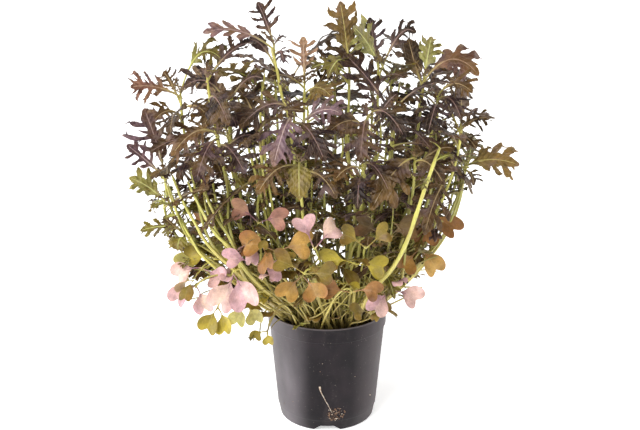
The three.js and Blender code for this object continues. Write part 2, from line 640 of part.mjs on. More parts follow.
// Every shoot's row. A twin grows from another sprout's root and is part of the same node.
function shootRows() {
  const label = (i) => String(i + 1).padStart(2, "0");
  const named = (rows, name, first, sort) => rows.map((row, i) =>
    ({ ...row, id: first + i, name: `${name}_${label(i)}`, sort, leaves: [], blades: [] }));
  const seen = (rows) => rows.map((row) => ({ ...row, head: sighted(row.head) }));
  const seedlings = [
    ...named(seen(FRONT_SEEDLINGS), "seedling_front", 1, SEEDLING),
    ...named(rearSeedlings(), "seedling_rear", 100, SEEDLING),
  ];
  const rear = Array.from({ length: REAR_SPROUTS }, (_, i) =>
    ruledSprout(300 + i, ((i + 0.5) / REAR_SPROUTS) * Math.PI));
  const sprouts = [
    ...named(seen(FRONT_SPROUTS), "sprout_front", 200, SPROUT),
    ...named(rear, "sprout_rear", 300, SPROUT),
  ];
  const twins = sprouts.slice(TWINLESS_SPROUTS).map((row) => {
    const id = row.id + 200;
    const aside = mix(0.5, 1.1, draw(id, 59)) * Math.sign(swing(id, 60));
    const shoot = ruledSprout(id, Math.atan2(row.head.y, row.head.x) + aside);
    return { ...row, ...shoot, tone: row.tone, id, leaves: [], blades: [], twin: row };
  });
  return [...seedlings, ...sprouts, ...twins];
}

// True if two solids share space. Their boxes are compared first.
function meets(a, b) {
  for (let i = 0; i < 3; i++)
    if (a.box.max[i] < b.box.min[i] || b.box.max[i] < a.box.min[i]) return false;
  return !a.solid.intersect(b.solid).isEmpty();
}

// A solid with its box and the name of its node.
const boxed = (solid, owner) => ({ solid, box: solid.boundingBox(), owner });

// The first of a number of tries that is found clear, or undefined.
function firstClear(make, isClear) {
  for (let attempt = 0; attempt < TRIES; attempt++) {
    const wanted = make(attempt);
    if (isClear(wanted)) return wanted;
  }
  return undefined;
}

// A stem on its own, as a solid.
function stemSolid({ stem, stations }, radii, margin) {
  const shell = new Shell();
  sewStem(shell, stemRings(stem, stations, radii, margin), []);
  return solidFrom(shell.geometry());
}

// A stem's curve, and where the sockets and the rings on it are.
function stemPlan(row, attempt) {
  const { id, sort, bow } = row;
  const stem = sort.stem(id, rootPlace(row, attempt), headPlace(row, attempt), attempt, bow);
  const height = SOCKET_HEIGHT / stem.getLength();
  const tops = sort.tops(row, height);
  return { stem, tops, stations: stemStations(sort.stations, tops, height) };
}

// Grows a stem that is clear of every other, save its twin's.
function growStem(row, standing) {
  const { radii } = row.sort;
  const inTheWay = standing.filter(({ owner }) => owner !== row.name);
  const plan = firstClear((attempt) => stemPlan(row, attempt), (wanted) => {
    const swollen = boxed(stemSolid(wanted, radii, 2 * CLEARANCE));
    return !inTheWay.some((other) => meets(swollen, other));
  });
  if (!plan) return;
  Object.assign(row, plan);
  row.rings = stemRings(row.stem, row.stations, radii);
  row.solid = stemSolid(row, radii, 0);
  standing.push(boxed(row.solid, row.name));
}

// The number of the stretch that a leaf grows from: the first on a seedling is the stem's end.
function stretchOf(row, index) {
  const place = row.sort.place(index);
  if (place === 0) return row.rings.length - 1;
  return row.stations.findIndex((t) => Math.abs(t - row.tops[place - 1]) < 1e-6);
}

// A leaf without its foot, which is near its own stem and its sisters.
function freePart(leaf, solid) {
  const along = leaf.curve.v2.clone().sub(leaf.curve.v0).normalize();
  return boxed(solid.trimByPlane(along.toArray(), leaf.curve.getPoint(FREE_SHARE).dot(along)));
}

// Grows a leaf that is clear of other nodes and, past its foot, of its own stem and its sisters.
function growLeaf(row, index, standing) {
  const { sort } = row;
  const inTheWay = standing.filter(({ owner }) => owner !== row.name);
  const solidWith = (leaf, margin) =>
    leafSolid(sort.sew, socketCorners(row.rings, leaf.socket), leaf, margin);
  const stretch = stretchOf(row, index);
  const leaf = firstClear((attempt) => sort.leaf(row, index, stretch, attempt), (wanted) => {
    if (sort.isRuled(row, index) && !withinCrown(wanted.curve.v2)) return false;
    const swollen = solidWith(wanted, CLEARANCE);
    const free = freePart(wanted, swollen);
    if ([boxed(row.solid), ...row.blades].some((own) => meets(free, own))) return false;
    return !inTheWay.some((other) => meets(boxed(swollen), other));
  });
  if (!leaf) return;
  const solid = solidWith(leaf, 0);
  row.leaves.push(leaf);
  row.blades.push(freePart(leaf, solid));
  standing.push(boxed(solid, row.name));
}

// A stem with its leaves as one solid.
function shootSolid(row) {
  const shell = new Shell();
  const loops = sewStem(shell, row.rings, row.leaves.map(({ socket }) => socket));
  for (const leaf of row.leaves) row.sort.sew(shell, socketCorners(loops, leaf.socket), leaf);
  return solidFrom(shell.geometry());
}

// The shoots that find room: all the stems first, then the leaves in rounds.
function grownShoots(pot) {
  const standing = [boxed(pot)];
  const rows = shootRows();
  for (const row of rows) if (!row.twin || row.twin.stem) growStem(row, standing);
  const rooted = rows.filter((row) => row.stem);
  const rounds = Math.max(...rooted.map((row) => row.sort.count(row)));
  for (let round = 0; round < rounds; round++)
    for (const row of rooted)
      if (round < row.sort.count(row)) growLeaf(row, round, standing);
  return rooted;
}

// The radius of the pot's inside at a height, under the rim band.
function innerRadius(z) {
  const low = FOOT_TOP_RADIUS - WALL - BAND_STEP;
  const high = RIM_RADIUS - BAND_STEP - TAPER - WALL;
  return mix(low, high, (z - FLOOR_Z) / (POT_HEIGHT - BAND_HEIGHT - FLOOR_Z));
}

// Lathes turn about Y, so they are stood up on Z.
function turned(profile) {
  const points = profile.map(([r, z]) => new THREE.Vector2(r, z));
  return new THREE.LatheGeometry(points, POT_SIDES).rotateX(Math.PI / 2);
}

// The pot's line from the axis underneath, up the outside, over the rim and back to the axis inside.
function potProfile() {
  const bandZ = POT_HEIGHT - BAND_HEIGHT;
  const inside = FLOOR_Z + WALL;
  const footInner = FOOT_RADIUS - FOOT_RING;
  return [
    [0, 0], [BOSS_RADIUS, 0], [BOSS_RADIUS + BOSS_FLARE, FLOOR_Z], [footInner, FLOOR_Z],
    [footInner + BAND_STEP, 0], [FOOT_RADIUS, 0], [FOOT_TOP_RADIUS, FOOT_HEIGHT],
    [WALL_END_RADIUS, FOOT_HEIGHT + BAND_STEP], [RIM_RADIUS - BAND_STEP - TAPER, bandZ],
    [RIM_RADIUS - BAND_FLARE, bandZ + BAND_STEP], [RIM_RADIUS, POT_HEIGHT],
    [RIM_RADIUS - LIP, POT_HEIGHT], [innerRadius(bandZ), bandZ], [innerRadius(inside), inside],
    [BOSS_RADIUS + BOSS_FLARE - TAPER, inside], [BOSS_RADIUS - TAPER, WALL], [0, WALL],
  ];
}

// The cutter of one notch in the foot ring.
function notchCutter(index) {
  const outline = new THREE.Shape([
    new THREE.Vector2(-NOTCH_WIDTH / 2, -1), new THREE.Vector2(NOTCH_WIDTH / 2, -1),
    new THREE.Vector2(NOTCH_TOP_WIDTH / 2, NOTCH_HEIGHT),
    new THREE.Vector2(-NOTCH_TOP_WIDTH / 2, NOTCH_HEIGHT),
  ]);
  const cutter = new THREE.ExtrudeGeometry(outline, { depth: NOTCH_LENGTH, bevelEnabled: false });
  cutter.rotateX(Math.PI / 2).translate(0, CUT_OVER + FOOT_RING - FOOT_RADIUS, 0);
  return solidOf(cutter.rotateZ((index / NOTCHES) * 2 * Math.PI));
}

// The cutter of one drain hole in the floor.
function drainCutter(index) {
  const angle = ((index + 0.5) / DRAIN_HOLES) * 2 * Math.PI;
  const [x, y] = [DRAIN_CIRCLE * Math.cos(angle), DRAIN_CIRCLE * Math.sin(angle)];
  const hole = new THREE.CylinderGeometry(DRAIN_RADIUS, DRAIN_RADIUS, 2 * CUT_OVER, DRAIN_SIDES);
  return solidOf(hole.rotateX(Math.PI / 2).translate(x, y, FLOOR_Z));
}

// The pot with its notches and drain holes.
function potSolid() {
  let pot = solidOf(turned(potProfile()));
  for (let i = 0; i < NOTCHES; i++) pot = pot.subtract(notchCutter(i));
  for (let i = 0; i < DRAIN_HOLES; i++) pot = pot.subtract(drainCutter(i));
  return pot;
}

// Lumps in the top of the soil.
function roughen(position) {
  for (let i = 0; i < position.count; i++) {
    const z = position.getZ(i);
    if (z > SOIL_Z - 2 * SOIL_DOME) position.setZ(i, z + SOIL_BUMP * swing(i, 61));
  }
}

// A plain hole for a root, from its foot to well above the soil.
function rootHole({ x, y, z }, radius) {
  const width = (radius + GAP) * Math.SQRT2;
  const length = HOLE_DEPTH + GAP + CUT_OVER;
  const hole = new THREE.CylinderGeometry(width, width, length, HOLE_SIDES).rotateX(Math.PI / 2);
  return solidOf(hole.translate(x, y, z + CUT_OVER - length / 2));
}

// The soil fills the pot to under the rim, with a hole for each root.
function soilSolid(shoots) {
  const bottom = FLOOR_Z + WALL + GAP;
  const edge = innerRadius(SOIL_EDGE_Z - SOIL_BUMP) - GAP;
  const shoulder = SOIL_SHOULDER * edge;
  const profile = [
    [0, WALL + GAP], [BOSS_RADIUS - TAPER - GAP, WALL + GAP],
    [BOSS_RADIUS + BOSS_FLARE - TAPER, bottom], [innerRadius(bottom) - GAP, bottom],
    [edge, SOIL_EDGE_Z], [shoulder, soilHeight(shoulder)], [0, SOIL_Z],
  ];
  let soil = solidOf(turned(profile), roughen);
  for (const { stem, sort, twin } of shoots) {
    if (!twin) soil = soil.subtract(rootHole(stem.v0, sort.radii[0]));
  }
  return soil;
}

const pot = potSolid();
const shoots = grownShoots(pot);
const group = new THREE.Group();
for (const row of shoots.filter(({ twin }) => !twin)) {
  const twins = shoots.filter(({ twin }) => twin === row);
  const solid = wasm.Manifold.union([row, ...twins].map(shootSolid));
  group.add(meshOf(row.name, solid, COLOURS[row.tone], 0.6));
}
group.add(meshOf("pot", pot, 0x3a373b, 0.5));
group.add(meshOf("soil", soilSolid(shoots), 0x33271d, 0.95));

export default group;
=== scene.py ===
"""A potted red frills mustard: finer leaves, stems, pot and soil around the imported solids."""
import math
from types import SimpleNamespace

import bpy
import numpy as np
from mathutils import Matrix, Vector
from mathutils.geometry import delaunay_2d_cdt


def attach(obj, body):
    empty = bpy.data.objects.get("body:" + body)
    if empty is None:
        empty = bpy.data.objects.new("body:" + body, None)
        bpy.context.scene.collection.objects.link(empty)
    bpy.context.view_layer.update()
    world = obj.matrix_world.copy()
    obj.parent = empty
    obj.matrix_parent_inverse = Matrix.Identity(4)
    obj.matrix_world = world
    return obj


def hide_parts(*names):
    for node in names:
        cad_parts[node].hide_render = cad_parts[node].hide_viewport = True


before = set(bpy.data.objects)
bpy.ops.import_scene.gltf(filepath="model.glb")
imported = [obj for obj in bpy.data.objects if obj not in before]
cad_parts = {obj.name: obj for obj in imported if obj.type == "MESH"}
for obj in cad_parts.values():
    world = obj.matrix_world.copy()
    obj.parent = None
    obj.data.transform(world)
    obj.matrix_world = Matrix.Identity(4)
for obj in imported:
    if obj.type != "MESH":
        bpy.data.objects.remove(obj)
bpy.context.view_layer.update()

# Sizes are in millimetres up to the making of a mesh.
MM = 0.001

# The solids' own rules and tables, so that each fine leaf lies on the curve of its solid.
SOIL_Z, SOIL_DOME, SOIL_BUMP, ROOT_REACH, HOLE_DEPTH = 88.5, 2.2, 0.7, 39, 5
STEM_STATIONS = [0, 0.2, 0.44, 0.68]
SPROUT_STATIONS = [0, 0.26, 0.56]
SOCKET_HEIGHT, STATION_GAP = 5.5, 0.08
STEM_RADIUS, SPROUT_RADIUS = (1.6, 1.15), (1, 0.75)
BLADE_STATIONS = [0, 0.3, 0.58, 0.82]
CONTROL_SHARE, PUSH, ROLL_SHARE = 0.42, 4, 0.3
LOOK_SHARE, HEART_END = 0.7, 0.97
HEART_SIDE, HEART_RISE, HEART_TOP = 0.84, 0.22, 0.35
GOLDEN_ANGLE, TRIES = 2.39996, 80
TWIN_SPREAD = (30, 30, 14)
REAR_SEEDLINGS, REAR_LEAVES, RULED_SPACING = 14, 5, 0.06
CROWN_X, CROWN_Y, CROWN_TOP, CROWN_FALL = 122, 116, 306, 92
TONES = ["purple", "bronze", "purple", "olive"]
SPROUT_TONES = ["pink", "amber", "green"]
REAR_SPROUTS, TWINLESS_SPROUTS = 5, 11
# The first number of each sort of shoot, and how far a twin's is from its fellow's.
REAR_ID, SPROUT_ID, REAR_SPROUT_ID, TWIN_STEP = 100, 200, 300, 200
# How many draw keys a stem keeps for its leaves.
LEAF_KEYS = 16
# The camera's place, and the way that leaves in front look.
EYE = np.array([-6.2, -900, 483])
FRONT_LOOK = np.array([0, -0.8, 0.6])
KINDS = {
    "frill": dict(petiole=0.3, rib=[0.16, 0.24, 0.22, 0.16], lobes=[0.78, 1, 0.8], sweep=0.14, curl=0.3),
    "broad": dict(petiole=0.26, rib=[0.16, 0.5, 0.48, 0.34], lobes=[0.66, 1, 0.92], sweep=0.12, curl=0.16),
    "oval": dict(petiole=0.26, rib=[0.14, 0.82, 1, 0.66], lobes=None, sweep=0, curl=0),
}
# Front seedlings: colour, stem's end, number of ruled leaves, known leaves (tip, lift, half width, kind).
FRONT_SEEDLINGS = [
    ("purple", (-44, 0, 332), 0, [
        (-57, 0, 367, 2, 13, "frill"), (-102, -8, 342, 18, 9, "frill"),
        (-36, -8, 317, 14, 8, "frill"), (-65, 8, 336, 14, 7, "oval"),
    ]),
    ("olive", (18, 0, 316), 1, [
        (10, 0, 368, 2, 14, "broad"), (0, -14, 305, 22, 9, "broad"),
        (-14, 6, 312, 14, 8, "frill"),
    ]),
    ("purple", (42, 4, 316), 0, [
        (21, -6, 347, 4, 15, "broad"), (34, 16, 355, 4, 12, "frill"),
        (72, 6, 342, 34, 13, "frill"), (68, -24, 308, 16, 16, "frill"),
    ]),
    ("bronze", (80, -4, 306), 0, [
        (85, -8, 339, 2, 11, "broad"), (125, -12, 307, 32, 20, "broad"),
        (66, 6, 338, 4, 9, "oval"), (104, 4, 330, 8, 12, "frill"),
    ]),
    ("bronze", (-122, 0, 292), 1, [
        (-85, -6, 318, 38, 15, "frill"), (-164, -8, 297, 10, 16, "frill"),
        (-136, 6, 310, 12, 10, "frill"), (-100, -22, 272, 12, 16, "frill"),
        (-146, -16, 268, 14, 15, "frill"),
    ]),
    ("purple", (-138, -10, 222), 1, [
        (-153, -14, 279, 4, 22, "frill"), (-169, -26, 248, 6, 14, "frill"),
    ]),
    ("olive", (-136, -10, 200), 1, [
        (-169, -14, 219, 2, 13, "broad"), (-152, 8, 192, 6, 8, "frill"),
    ]),
    ("olive", (-122, -20, 170), 0, [
        (-162, -20, 171, 4, 10, "frill"), (-143, -6, 186, 4, 9, "frill"),
        (-130, -36, 152, 8, 9, "oval"),
    ]),
    ("olive", (116, -6, 228), 1, [
        (163, -8, 230, 8, 17, "broad"), (125, -16, 212, 6, 9, "frill"),
    ]),
    ("bronze", (108, 4, 258), 1, [
        (137, 4, 271, 6, 11, "frill"), (126, -12, 244, 8, 11, "frill"),
    ]),
    ("bronze", (-19, 8, 300), 0, [
        (-20, 10, 339, 2, 12, "frill"), (-48, -8, 306, 14, 16, "frill"),
        (4, -14, 288, 16, 15, "broad"), (2, 16, 322, 6, 10, "frill"),
    ]),
    ("purple", (92, -24, 290), 0, [
        (121, -34, 292, 14, 15, "frill"), (113, -50, 268, 18, 15, "frill"),
        (84, -62, 256, 20, 17, "frill"), (62, -40, 284, 18, 15, "frill"),
    ]),
    ("purple", (-84, -26, 284), 0, [
        (-120, -36, 296, 22, 16, "frill"), (-52, -22, 304, 26, 14, "frill"),
        (-104, -64, 262, 20, 17, "frill"), (-76, -54, 262, 18, 13, "oval"),
    ]),
    ("purple", (-92, -44, 256), 0, [
        (-132, -58, 238, 18, 18, "frill"), (-112, -84, 214, 18, 18, "frill"),
        (-70, -84, 222, 18, 18, "frill"), (-58, -58, 254, 16, 14, "frill"),
    ]),
    ("purple", (-28, -48, 276), 0, [
        (-74, -62, 262, 20, 17, "frill"), (-46, -92, 228, 20, 19, "frill"),
        (-2, -92, 232, 20, 19, "frill"), (12, -60, 274, 20, 16, "frill"),
    ]),
    ("purple", (34, -44, 272), 0, [
        (66, -74, 252, 20, 18, "frill"), (28, -90, 232, 20, 18, "frill"),
        (0, -72, 258, 18, 15, "broad"), (58, -30, 292, 16, 15, "frill"),
    ]),
    ("bronze", (74, -56, 236), 0, [
        (38, -88, 190, 14, 19, "broad"), (100, -80, 212, 16, 16, "broad"),
        (108, -50, 244, 16, 15, "frill"), (62, -88, 222, 16, 16, "frill"),
    ]),
    ("bronze", (-24, -70, 232), 0, [
        (-24, -94, 198, 10, 10, "oval"), (-60, -92, 204, 16, 16, "frill"),
        (8, -94, 200, 16, 15, "frill"),
    ]),
    ("purple", (-108, -6, 250), 1, [
        (-148, -10, 240, 10, 16, "frill"), (-88, -24, 216, 14, 15, "frill"),
        (-128, -18, 214, 10, 13, "frill"),
    ]),
    ("olive", (98, -10, 238), 1, [
        (84, -32, 204, 12, 14, "frill"), (114, 4, 208, 8, 11, "frill"),
        (92, -18, 264, 6, 14, "frill"),
    ]),
    ("purple", (30, -62, 230), 1, [
        (54, -84, 204, 14, 15, "frill"), (6, -88, 216, 12, 14, "frill"),
        (26, -92, 190, 14, 14, "broad"),
    ]),
]
# Front sprouts: colour, stem's end, bow, leaf size, the way they face and the pair's spread in degrees.
FRONT_SPROUTS = [
    ("green", (-98, -34, 146), 20, 19, -20, 92),
    ("pink", (-110, -44, 134), 34, 20, -26, 118),
    ("pink", (-83, -72, 130), 26, 25, -10, 156),
    ("pink", (-114, -54, 118), 44, 19, -24, 142),
    ("green", (-98, -62, 97), 52, 19, -16, 165),
    ("green", (-73, -62, 101), 38, 16, -10, 156),
    ("green", (-54, -54, 73), 46, 11, -20, 152),
    ("amber", (-45, -84, 151), 8, 23, -4, 80),
    ("pink", (-60, -60, 178), 6, 19, -6, 74),
    ("pink", (-11, -92, 154), 6, 20, 6, 34),
    ("amber", (-22, -80, 128), 16, 20, -8, 146),
    ("pink", (56, -64, 113), 26, 21, 12, 128),
    ("amber", (80, -40, 153), 14, 20, 22, 142),
    ("amber", (90, -30, 188), 8, 22, 16, 148),
    ("green", (-112, -16, 154), 12, 20, -14, 96),
    ("green", (24, -78, 140), 12, 20, 4, 96),
    ("pink", (-66, -76, 140), 16, 18, -8, 96),
    ("green", (50, -66, 164), 8, 22, 8, 70),
]


HASH_START, HASH_STEP, HASH_SPREAD, HASH_RANGE = 2166136261, 16777619, 1540483477, 2 ** 32


def draw(*keys):
    """A draw from 0 to 1 that depends only on its whole-number keys."""
    h = HASH_START
    for key in keys:
        h = (h ^ key) * HASH_STEP % HASH_RANGE
        h ^= h >> 13
        h = h * HASH_SPREAD % HASH_RANGE
        h ^= h >> 15
    return h / HASH_RANGE


def swing(*keys):
    return 2 * draw(*keys) - 1


def mix(a, b, t):
    return a + (b - a) * t


def span(low, high, *keys):
    """A draw from low to high."""
    return mix(low, high, draw(*keys))


def vec(*values):
    return np.array(values, float)


def unit(v):
    return v / np.linalg.norm(v, axis=-1, keepdims=True)


def columns(*parts):
    return np.stack(parts, axis=-1)


def polar(radius, angle, z):
    return vec(radius * math.cos(angle), radius * math.sin(angle), z)


def pick(options, *keys):
    return options[int(len(options) * draw(*keys))]


def sighted(place):
    """The place at its own depth that the camera sees at this place across and up."""
    x, y, z = place
    return EYE + (vec(x, 0, z) - EYE) * (1 - y / EYE[1])


def azimuth_of(start, end):
    return math.atan2(end[1] - start[1], end[0] - start[0])


def heading(azimuth, pitch):
    return polar(math.cos(pitch), azimuth, math.sin(pitch))


class Curve:
    """A Bezier curve."""

    def __init__(self, *points):
        self.points = np.array(points, float)

    def at(self, t, points=None):
        points = self.points if points is None else points
        t = np.asarray(t, float)[..., None]
        n = len(points) - 1
        return sum(math.comb(n, k) * (1 - t) ** (n - k) * t ** k * p for k, p in enumerate(points))

    def tangent(self, t):
        return unit(self.at(t, np.diff(self.points, axis=0)))

    def length(self):
        steps = np.diff(self.at(np.linspace(0, 1, 201)), axis=0)
        return np.linalg.norm(steps, axis=1).sum()


class Path:
    """A smooth line through places."""

    def __init__(self, *points):
        self.points = np.array(points, float)

    def at(self, t):
        p = self.points
        ends = np.concatenate([[2 * p[0] - p[1]], p, [2 * p[-1] - p[-2]]])
        t = np.asarray(t, float) * (len(p) - 1)
        i = np.clip(t.astype(int), 0, len(p) - 2)
        f = (t - i)[..., None]
        a, b, c, d = (ends[i + k] for k in range(4))
        return (b + (c - a) * f / 2 + (a - 2.5 * b + 2 * c - d / 2) * f ** 2
                + (3 * b - a - 3 * c + d) / 2 * f ** 3)

    def tangent(self, t):
        t = np.asarray(t, float)
        return unit(self.at(np.minimum(t + 0.01, 1)) - self.at(np.maximum(t - 0.01, 0)))


def frames(line, t):
    """The centres, sides and upper normals at places on a line: a curve with an azimuth and a roll."""
    t = np.asarray(t, float)
    along = line.curve.tangent(t)
    level = vec(math.sin(line.azimuth), -math.cos(line.azimuth), 0)
    side = unit(level - along * (along @ level)[..., None])
    normal = np.cross(side, along)
    turn = (line.roll * np.clip(t / ROLL_SHARE, 0, 1))[..., None]
    cos, sin = np.cos(turn), np.sin(turn)
    return line.curve.at(t), side * cos + normal * sin, normal * cos - side * sin


def roll_towards(line, towards):
    _, side, normal = frames(SimpleNamespace(curve=line.curve, azimuth=line.azimuth, roll=0), LOOK_SHARE)
    return math.atan2(-(side @ towards), normal @ towards)


def soil_height(radius):
    return SOIL_Z - SOIL_DOME * (radius / ROOT_REACH) ** 2


def root_place(row, attempt):
    if row.twin:
        return row.twin.stem.points[0]
    azimuth = math.atan2(row.head[1], row.head[0]) + (0.5 + 0.04 * attempt) * swing(row.id, 1, attempt)
    lean = min(1, math.hypot(row.head[0], row.head[1]) / 110)
    radius = ROOT_REACH * math.sqrt(mix(mix(0.04, 0.3, lean), 1, draw(row.id, 2, attempt)))
    return polar(radius, azimuth, soil_height(radius) + SOIL_BUMP)


def head_place(row, attempt):
    reach = TWIN_SPREAD if row.twin else [8 * attempt / TRIES] * 3
    return row.head + vec(*(most * swing(row.id, 6 + k, attempt) for k, most in enumerate(reach)))


def seedling_stem(row, root, head, attempt):
    out = vec(head[0] - root[0], head[1] - root[1], 0)
    first = root + out * span(0.4, 0.72, row.id, 3, attempt)
    first[2] = mix(root[2], head[2], span(0.24, 0.34, row.id, 4, attempt))
    second = head - out * span(-0.04, 0.12, row.id, 5, attempt)
    second[2] = mix(root[2], head[2], 0.62)
    return Curve(root, first, second, head)


def sprout_stem(row, root, head, attempt):
    out = vec(head[0] - root[0], head[1] - root[1], 0)
    first = root + out * span(0.16, 0.3, row.id, 3, attempt)
    first[2] += 0.34 * max(head[2] - root[2], 0) + row.bow * span(0.7, 1, row.id, 4, attempt)
    second = root + out * 0.88
    second[2] = head[2] + row.bow * span(0.5, 0.7, row.id, 5, attempt)
    return Curve(root, first, second, head)


def stem_rings(row):
    """The corners of a stem's rings, from the foot up."""
    height = SOCKET_HEIGHT / row.stem.length()
    if row.sprout:
        row.tops = [1]
    else:
        known = len(row.known)
        row.tops = [1 - i * (height if i < known else max(height, RULED_SPACING))
                    for i in range(known + row.more - 1)]
    sockets = sorted({t for top in row.tops for t in (top, top - height)})
    shares = SPROUT_STATIONS if row.sprout else STEM_STATIONS
    wanted = [t for t in shares if t < min(sockets) - STATION_GAP] + sockets + [1]
    row.stations = [t for i, t in enumerate(wanted) if i == 0 or t - wanted[i - 1] > 1e-6]
    line = SimpleNamespace(curve=row.stem, roll=0, azimuth=azimuth_of(row.stem.points[0], row.stem.points[3]))
    centre, side, normal = frames(line, row.stations)
    low, high = SPROUT_RADIUS if row.sprout else STEM_RADIUS
    radius = mix(low, high, np.array(row.stations))[:, None]
    rings = np.stack([centre + side * radius, centre + normal * radius,
                      centre - side * radius, centre - normal * radius], axis=1)
    foot = rings[0] * [1, 1, 0] + [0, 0, row.stem.points[0][2] - HOLE_DEPTH]
    return np.concatenate([foot[None], rings])


def socket_corners(rings, stretch, side):
    if stretch == len(rings) - 1:
        return np.array([rings[stretch][(k + side) % 4] for k in (0, 3, 2, 1)])
    low, high, after = rings[stretch], rings[stretch + 1], (side + 1) % 4
    return np.array([high[side], high[after], low[after], low[side]])


def leaf_line(row, stretch, tip, lift):
    """A leaf's curve from its socket on the stem to its tip."""
    end = stretch == len(row.rings) - 1
    side = 0
    near = row.rings[stretch - 1] if end else np.concatenate(row.rings[stretch:stretch + 2])
    middle = near.mean(axis=0)
    if not end:
        way = unit(tip - middle)
        taken = {leaf.side for leaf in row.leaves if leaf.stretch == stretch}
        look = [unit(socket_corners(row.rings, stretch, k).mean(axis=0) - middle) @ way for k in range(4)]
        side = max((k for k in range(4) if k not in taken), key=lambda k: (look[k], -k))
    root = socket_corners(row.rings, stretch, side).mean(axis=0)
    control = mix(root, tip, CONTROL_SHARE) + unit(root - middle) * PUSH
    control[2] += lift
    return SimpleNamespace(curve=Curve(root, control, tip), azimuth=azimuth_of(root, tip),
                           stretch=stretch, side=side)


def lobe_shapes(leaf, row, key):
    leaf.uneven = [span(0.84, 1.14, row.id, key, 20 + k) for k in range(6)]
    leaf.curls = [swing(row.id, key, 30 + k) for k in range(6)]


def shaker(row, key, attempt):
    """The function that gives a try's swings by their number."""
    return lambda k: swing(row.id, key, k, attempt)


def known_leaf(row, index, stretch, attempt):
    x, y, z, lift, half, kind = row.known[index]
    loose = attempt / TRIES
    shake = shaker(row, 10 + index, attempt)
    tip = sighted((x + 6 * loose * shake(1), y + 60 * loose * shake(2), z + 6 * loose * shake(3)))
    leaf = leaf_line(row, stretch, tip, lift * mix(1, 0.6, loose))
    lobe_shapes(leaf, row, 10 + index)
    leaf.roll = 0.8 * roll_towards(leaf, FRONT_LOOK) + 0.3 * loose * shake(4)
    leaf.kind, leaf.half = kind, half * mix(1, 0.8, loose)
    return leaf


def ruled_leaf(row, index, stretch, attempt):
    key = 10 + index
    loose = attempt / TRIES
    shake = shaker(row, key, attempt)
    age = (index - len(row.known) + 0.5) / row.more
    azimuth = row.id + index * GOLDEN_ANGLE + (0.3 + 2.4 * loose) * shake(1)
    length = span(54, 74, row.id, key, 6) * mix(1, 0.7, loose)
    pitch = mix(0.9, -0.5, age) + 0.35 * shake(2)
    tip = row.rings[stretch].mean(axis=0) + heading(azimuth, pitch) * length
    leaf = leaf_line(row, stretch, tip, span(10, 26, row.id, key, 8) * math.cos(pitch))
    lobe_shapes(leaf, row, key)
    outward = unit(vec(row.head[0], row.head[1], 60))
    leaf.kind = "frill" if draw(row.id, key, 7) < 0.74 else "broad"
    leaf.roll = 0.5 * roll_towards(leaf, outward) + 0.3 * shake(3)
    leaf.half = span(0.25, 0.3, row.id, key, 9) * length
    return leaf


def seed_leaf(row, index, stretch, attempt):
    loose = attempt / TRIES
    shake = shaker(row, 40 + index, attempt)
    look = heading(math.radians(row.face - 90), 0.45)
    right = unit(vec(-look[1], look[0], 0))
    up = np.cross(look, right)
    apart = math.radians((1 if index else -1) * row.spread + 14 * swing(row.id, 45))
    angle = apart + 0.8 * loose * shake(1)
    length = row.size * span(1.2, 1.36, row.id, 46 + index)
    tip = (row.rings[stretch].mean(axis=0) + right * length * math.sin(angle)
           + up * length * math.cos(angle) + look * length * span(0.1, 0.35, row.id, 48 + index))
    leaf = leaf_line(row, stretch, tip, 0.15 * length)
    leaf.roll = roll_towards(leaf, look) + 0.5 * (0.3 + loose) * shake(2)
    leaf.kind, leaf.half = "heart", row.size / 2
    return leaf


def ruled_sprout(number, bearing):
    radius = span(46, 92, number, 54)
    rise = span(122, 178, number, 55)
    return dict(tone=SPROUT_TONES[number % 3],
                head=polar(radius, bearing, rise),
                bow=span(10, 28, number, 56), size=span(14, 20, number, 57),
                face=math.degrees(bearing) + 90, spread=span(55, 125, number, 58))


def shoot(number, name, **values):
    return SimpleNamespace(id=number, name=name, twin=None, leaves=[], **values)


def shoot_rows():
    """Every shoot's row, in the order of the solids."""
    rows = [shoot(1 + i, f"seedling_front_{i + 1:02}", tone=tone, head=sighted(head), more=more,
                  known=known, sprout=False)
            for i, (tone, head, more, known) in enumerate(FRONT_SEEDLINGS)]
    for i in range(REAR_SEEDLINGS):
        turn = mix(-0.3, 1.3, (i + 0.5) / REAR_SEEDLINGS) * math.pi
        far = math.sqrt(mix(0.08, 1, (i * 0.618 + 0.3) % 1))
        fall = CROWN_FALL * far * far * draw(i, 52) + 12 * swing(i, 53)
        head = vec(CROWN_X * far * math.cos(turn), CROWN_Y * far * math.sin(turn) + 8, CROWN_TOP - fall)
        rows.append(shoot(REAR_ID + i, f"seedling_rear_{i + 1:02}", tone=TONES[i % 4], head=head,
                          more=REAR_LEAVES, known=[], sprout=False))
    sprouts = [shoot(SPROUT_ID + i, f"sprout_front_{i + 1:02}", tone=tone, head=sighted(head), bow=bow,
                     size=size, face=face, spread=spread, sprout=True)
               for i, (tone, head, bow, size, face, spread) in enumerate(FRONT_SPROUTS)]
    sprouts += [shoot(REAR_SPROUT_ID + i, f"sprout_rear_{i + 1:02}", sprout=True,
                      **ruled_sprout(REAR_SPROUT_ID + i, (i + 0.5) / REAR_SPROUTS * math.pi))
                for i in range(REAR_SPROUTS)]
    twins = []
    for fellow in sprouts[TWINLESS_SPROUTS:]:
        number = fellow.id + TWIN_STEP
        aside = span(0.5, 1.1, number, 59) * (1 if swing(number, 60) > 0 else -1)
        row = shoot(number, fellow.name, sprout=True,
                    **ruled_sprout(number, math.atan2(fellow.head[1], fellow.head[0]) + aside))
        row.tone, row.twin = fellow.tone, fellow
        twins.append(row)
    return rows + sprouts + twins


def matched(points, corners):
    """True if a solid has each of these points."""
    near = 0.03
    return all(np.abs(points - p).max(axis=1).min() < near for p in corners)


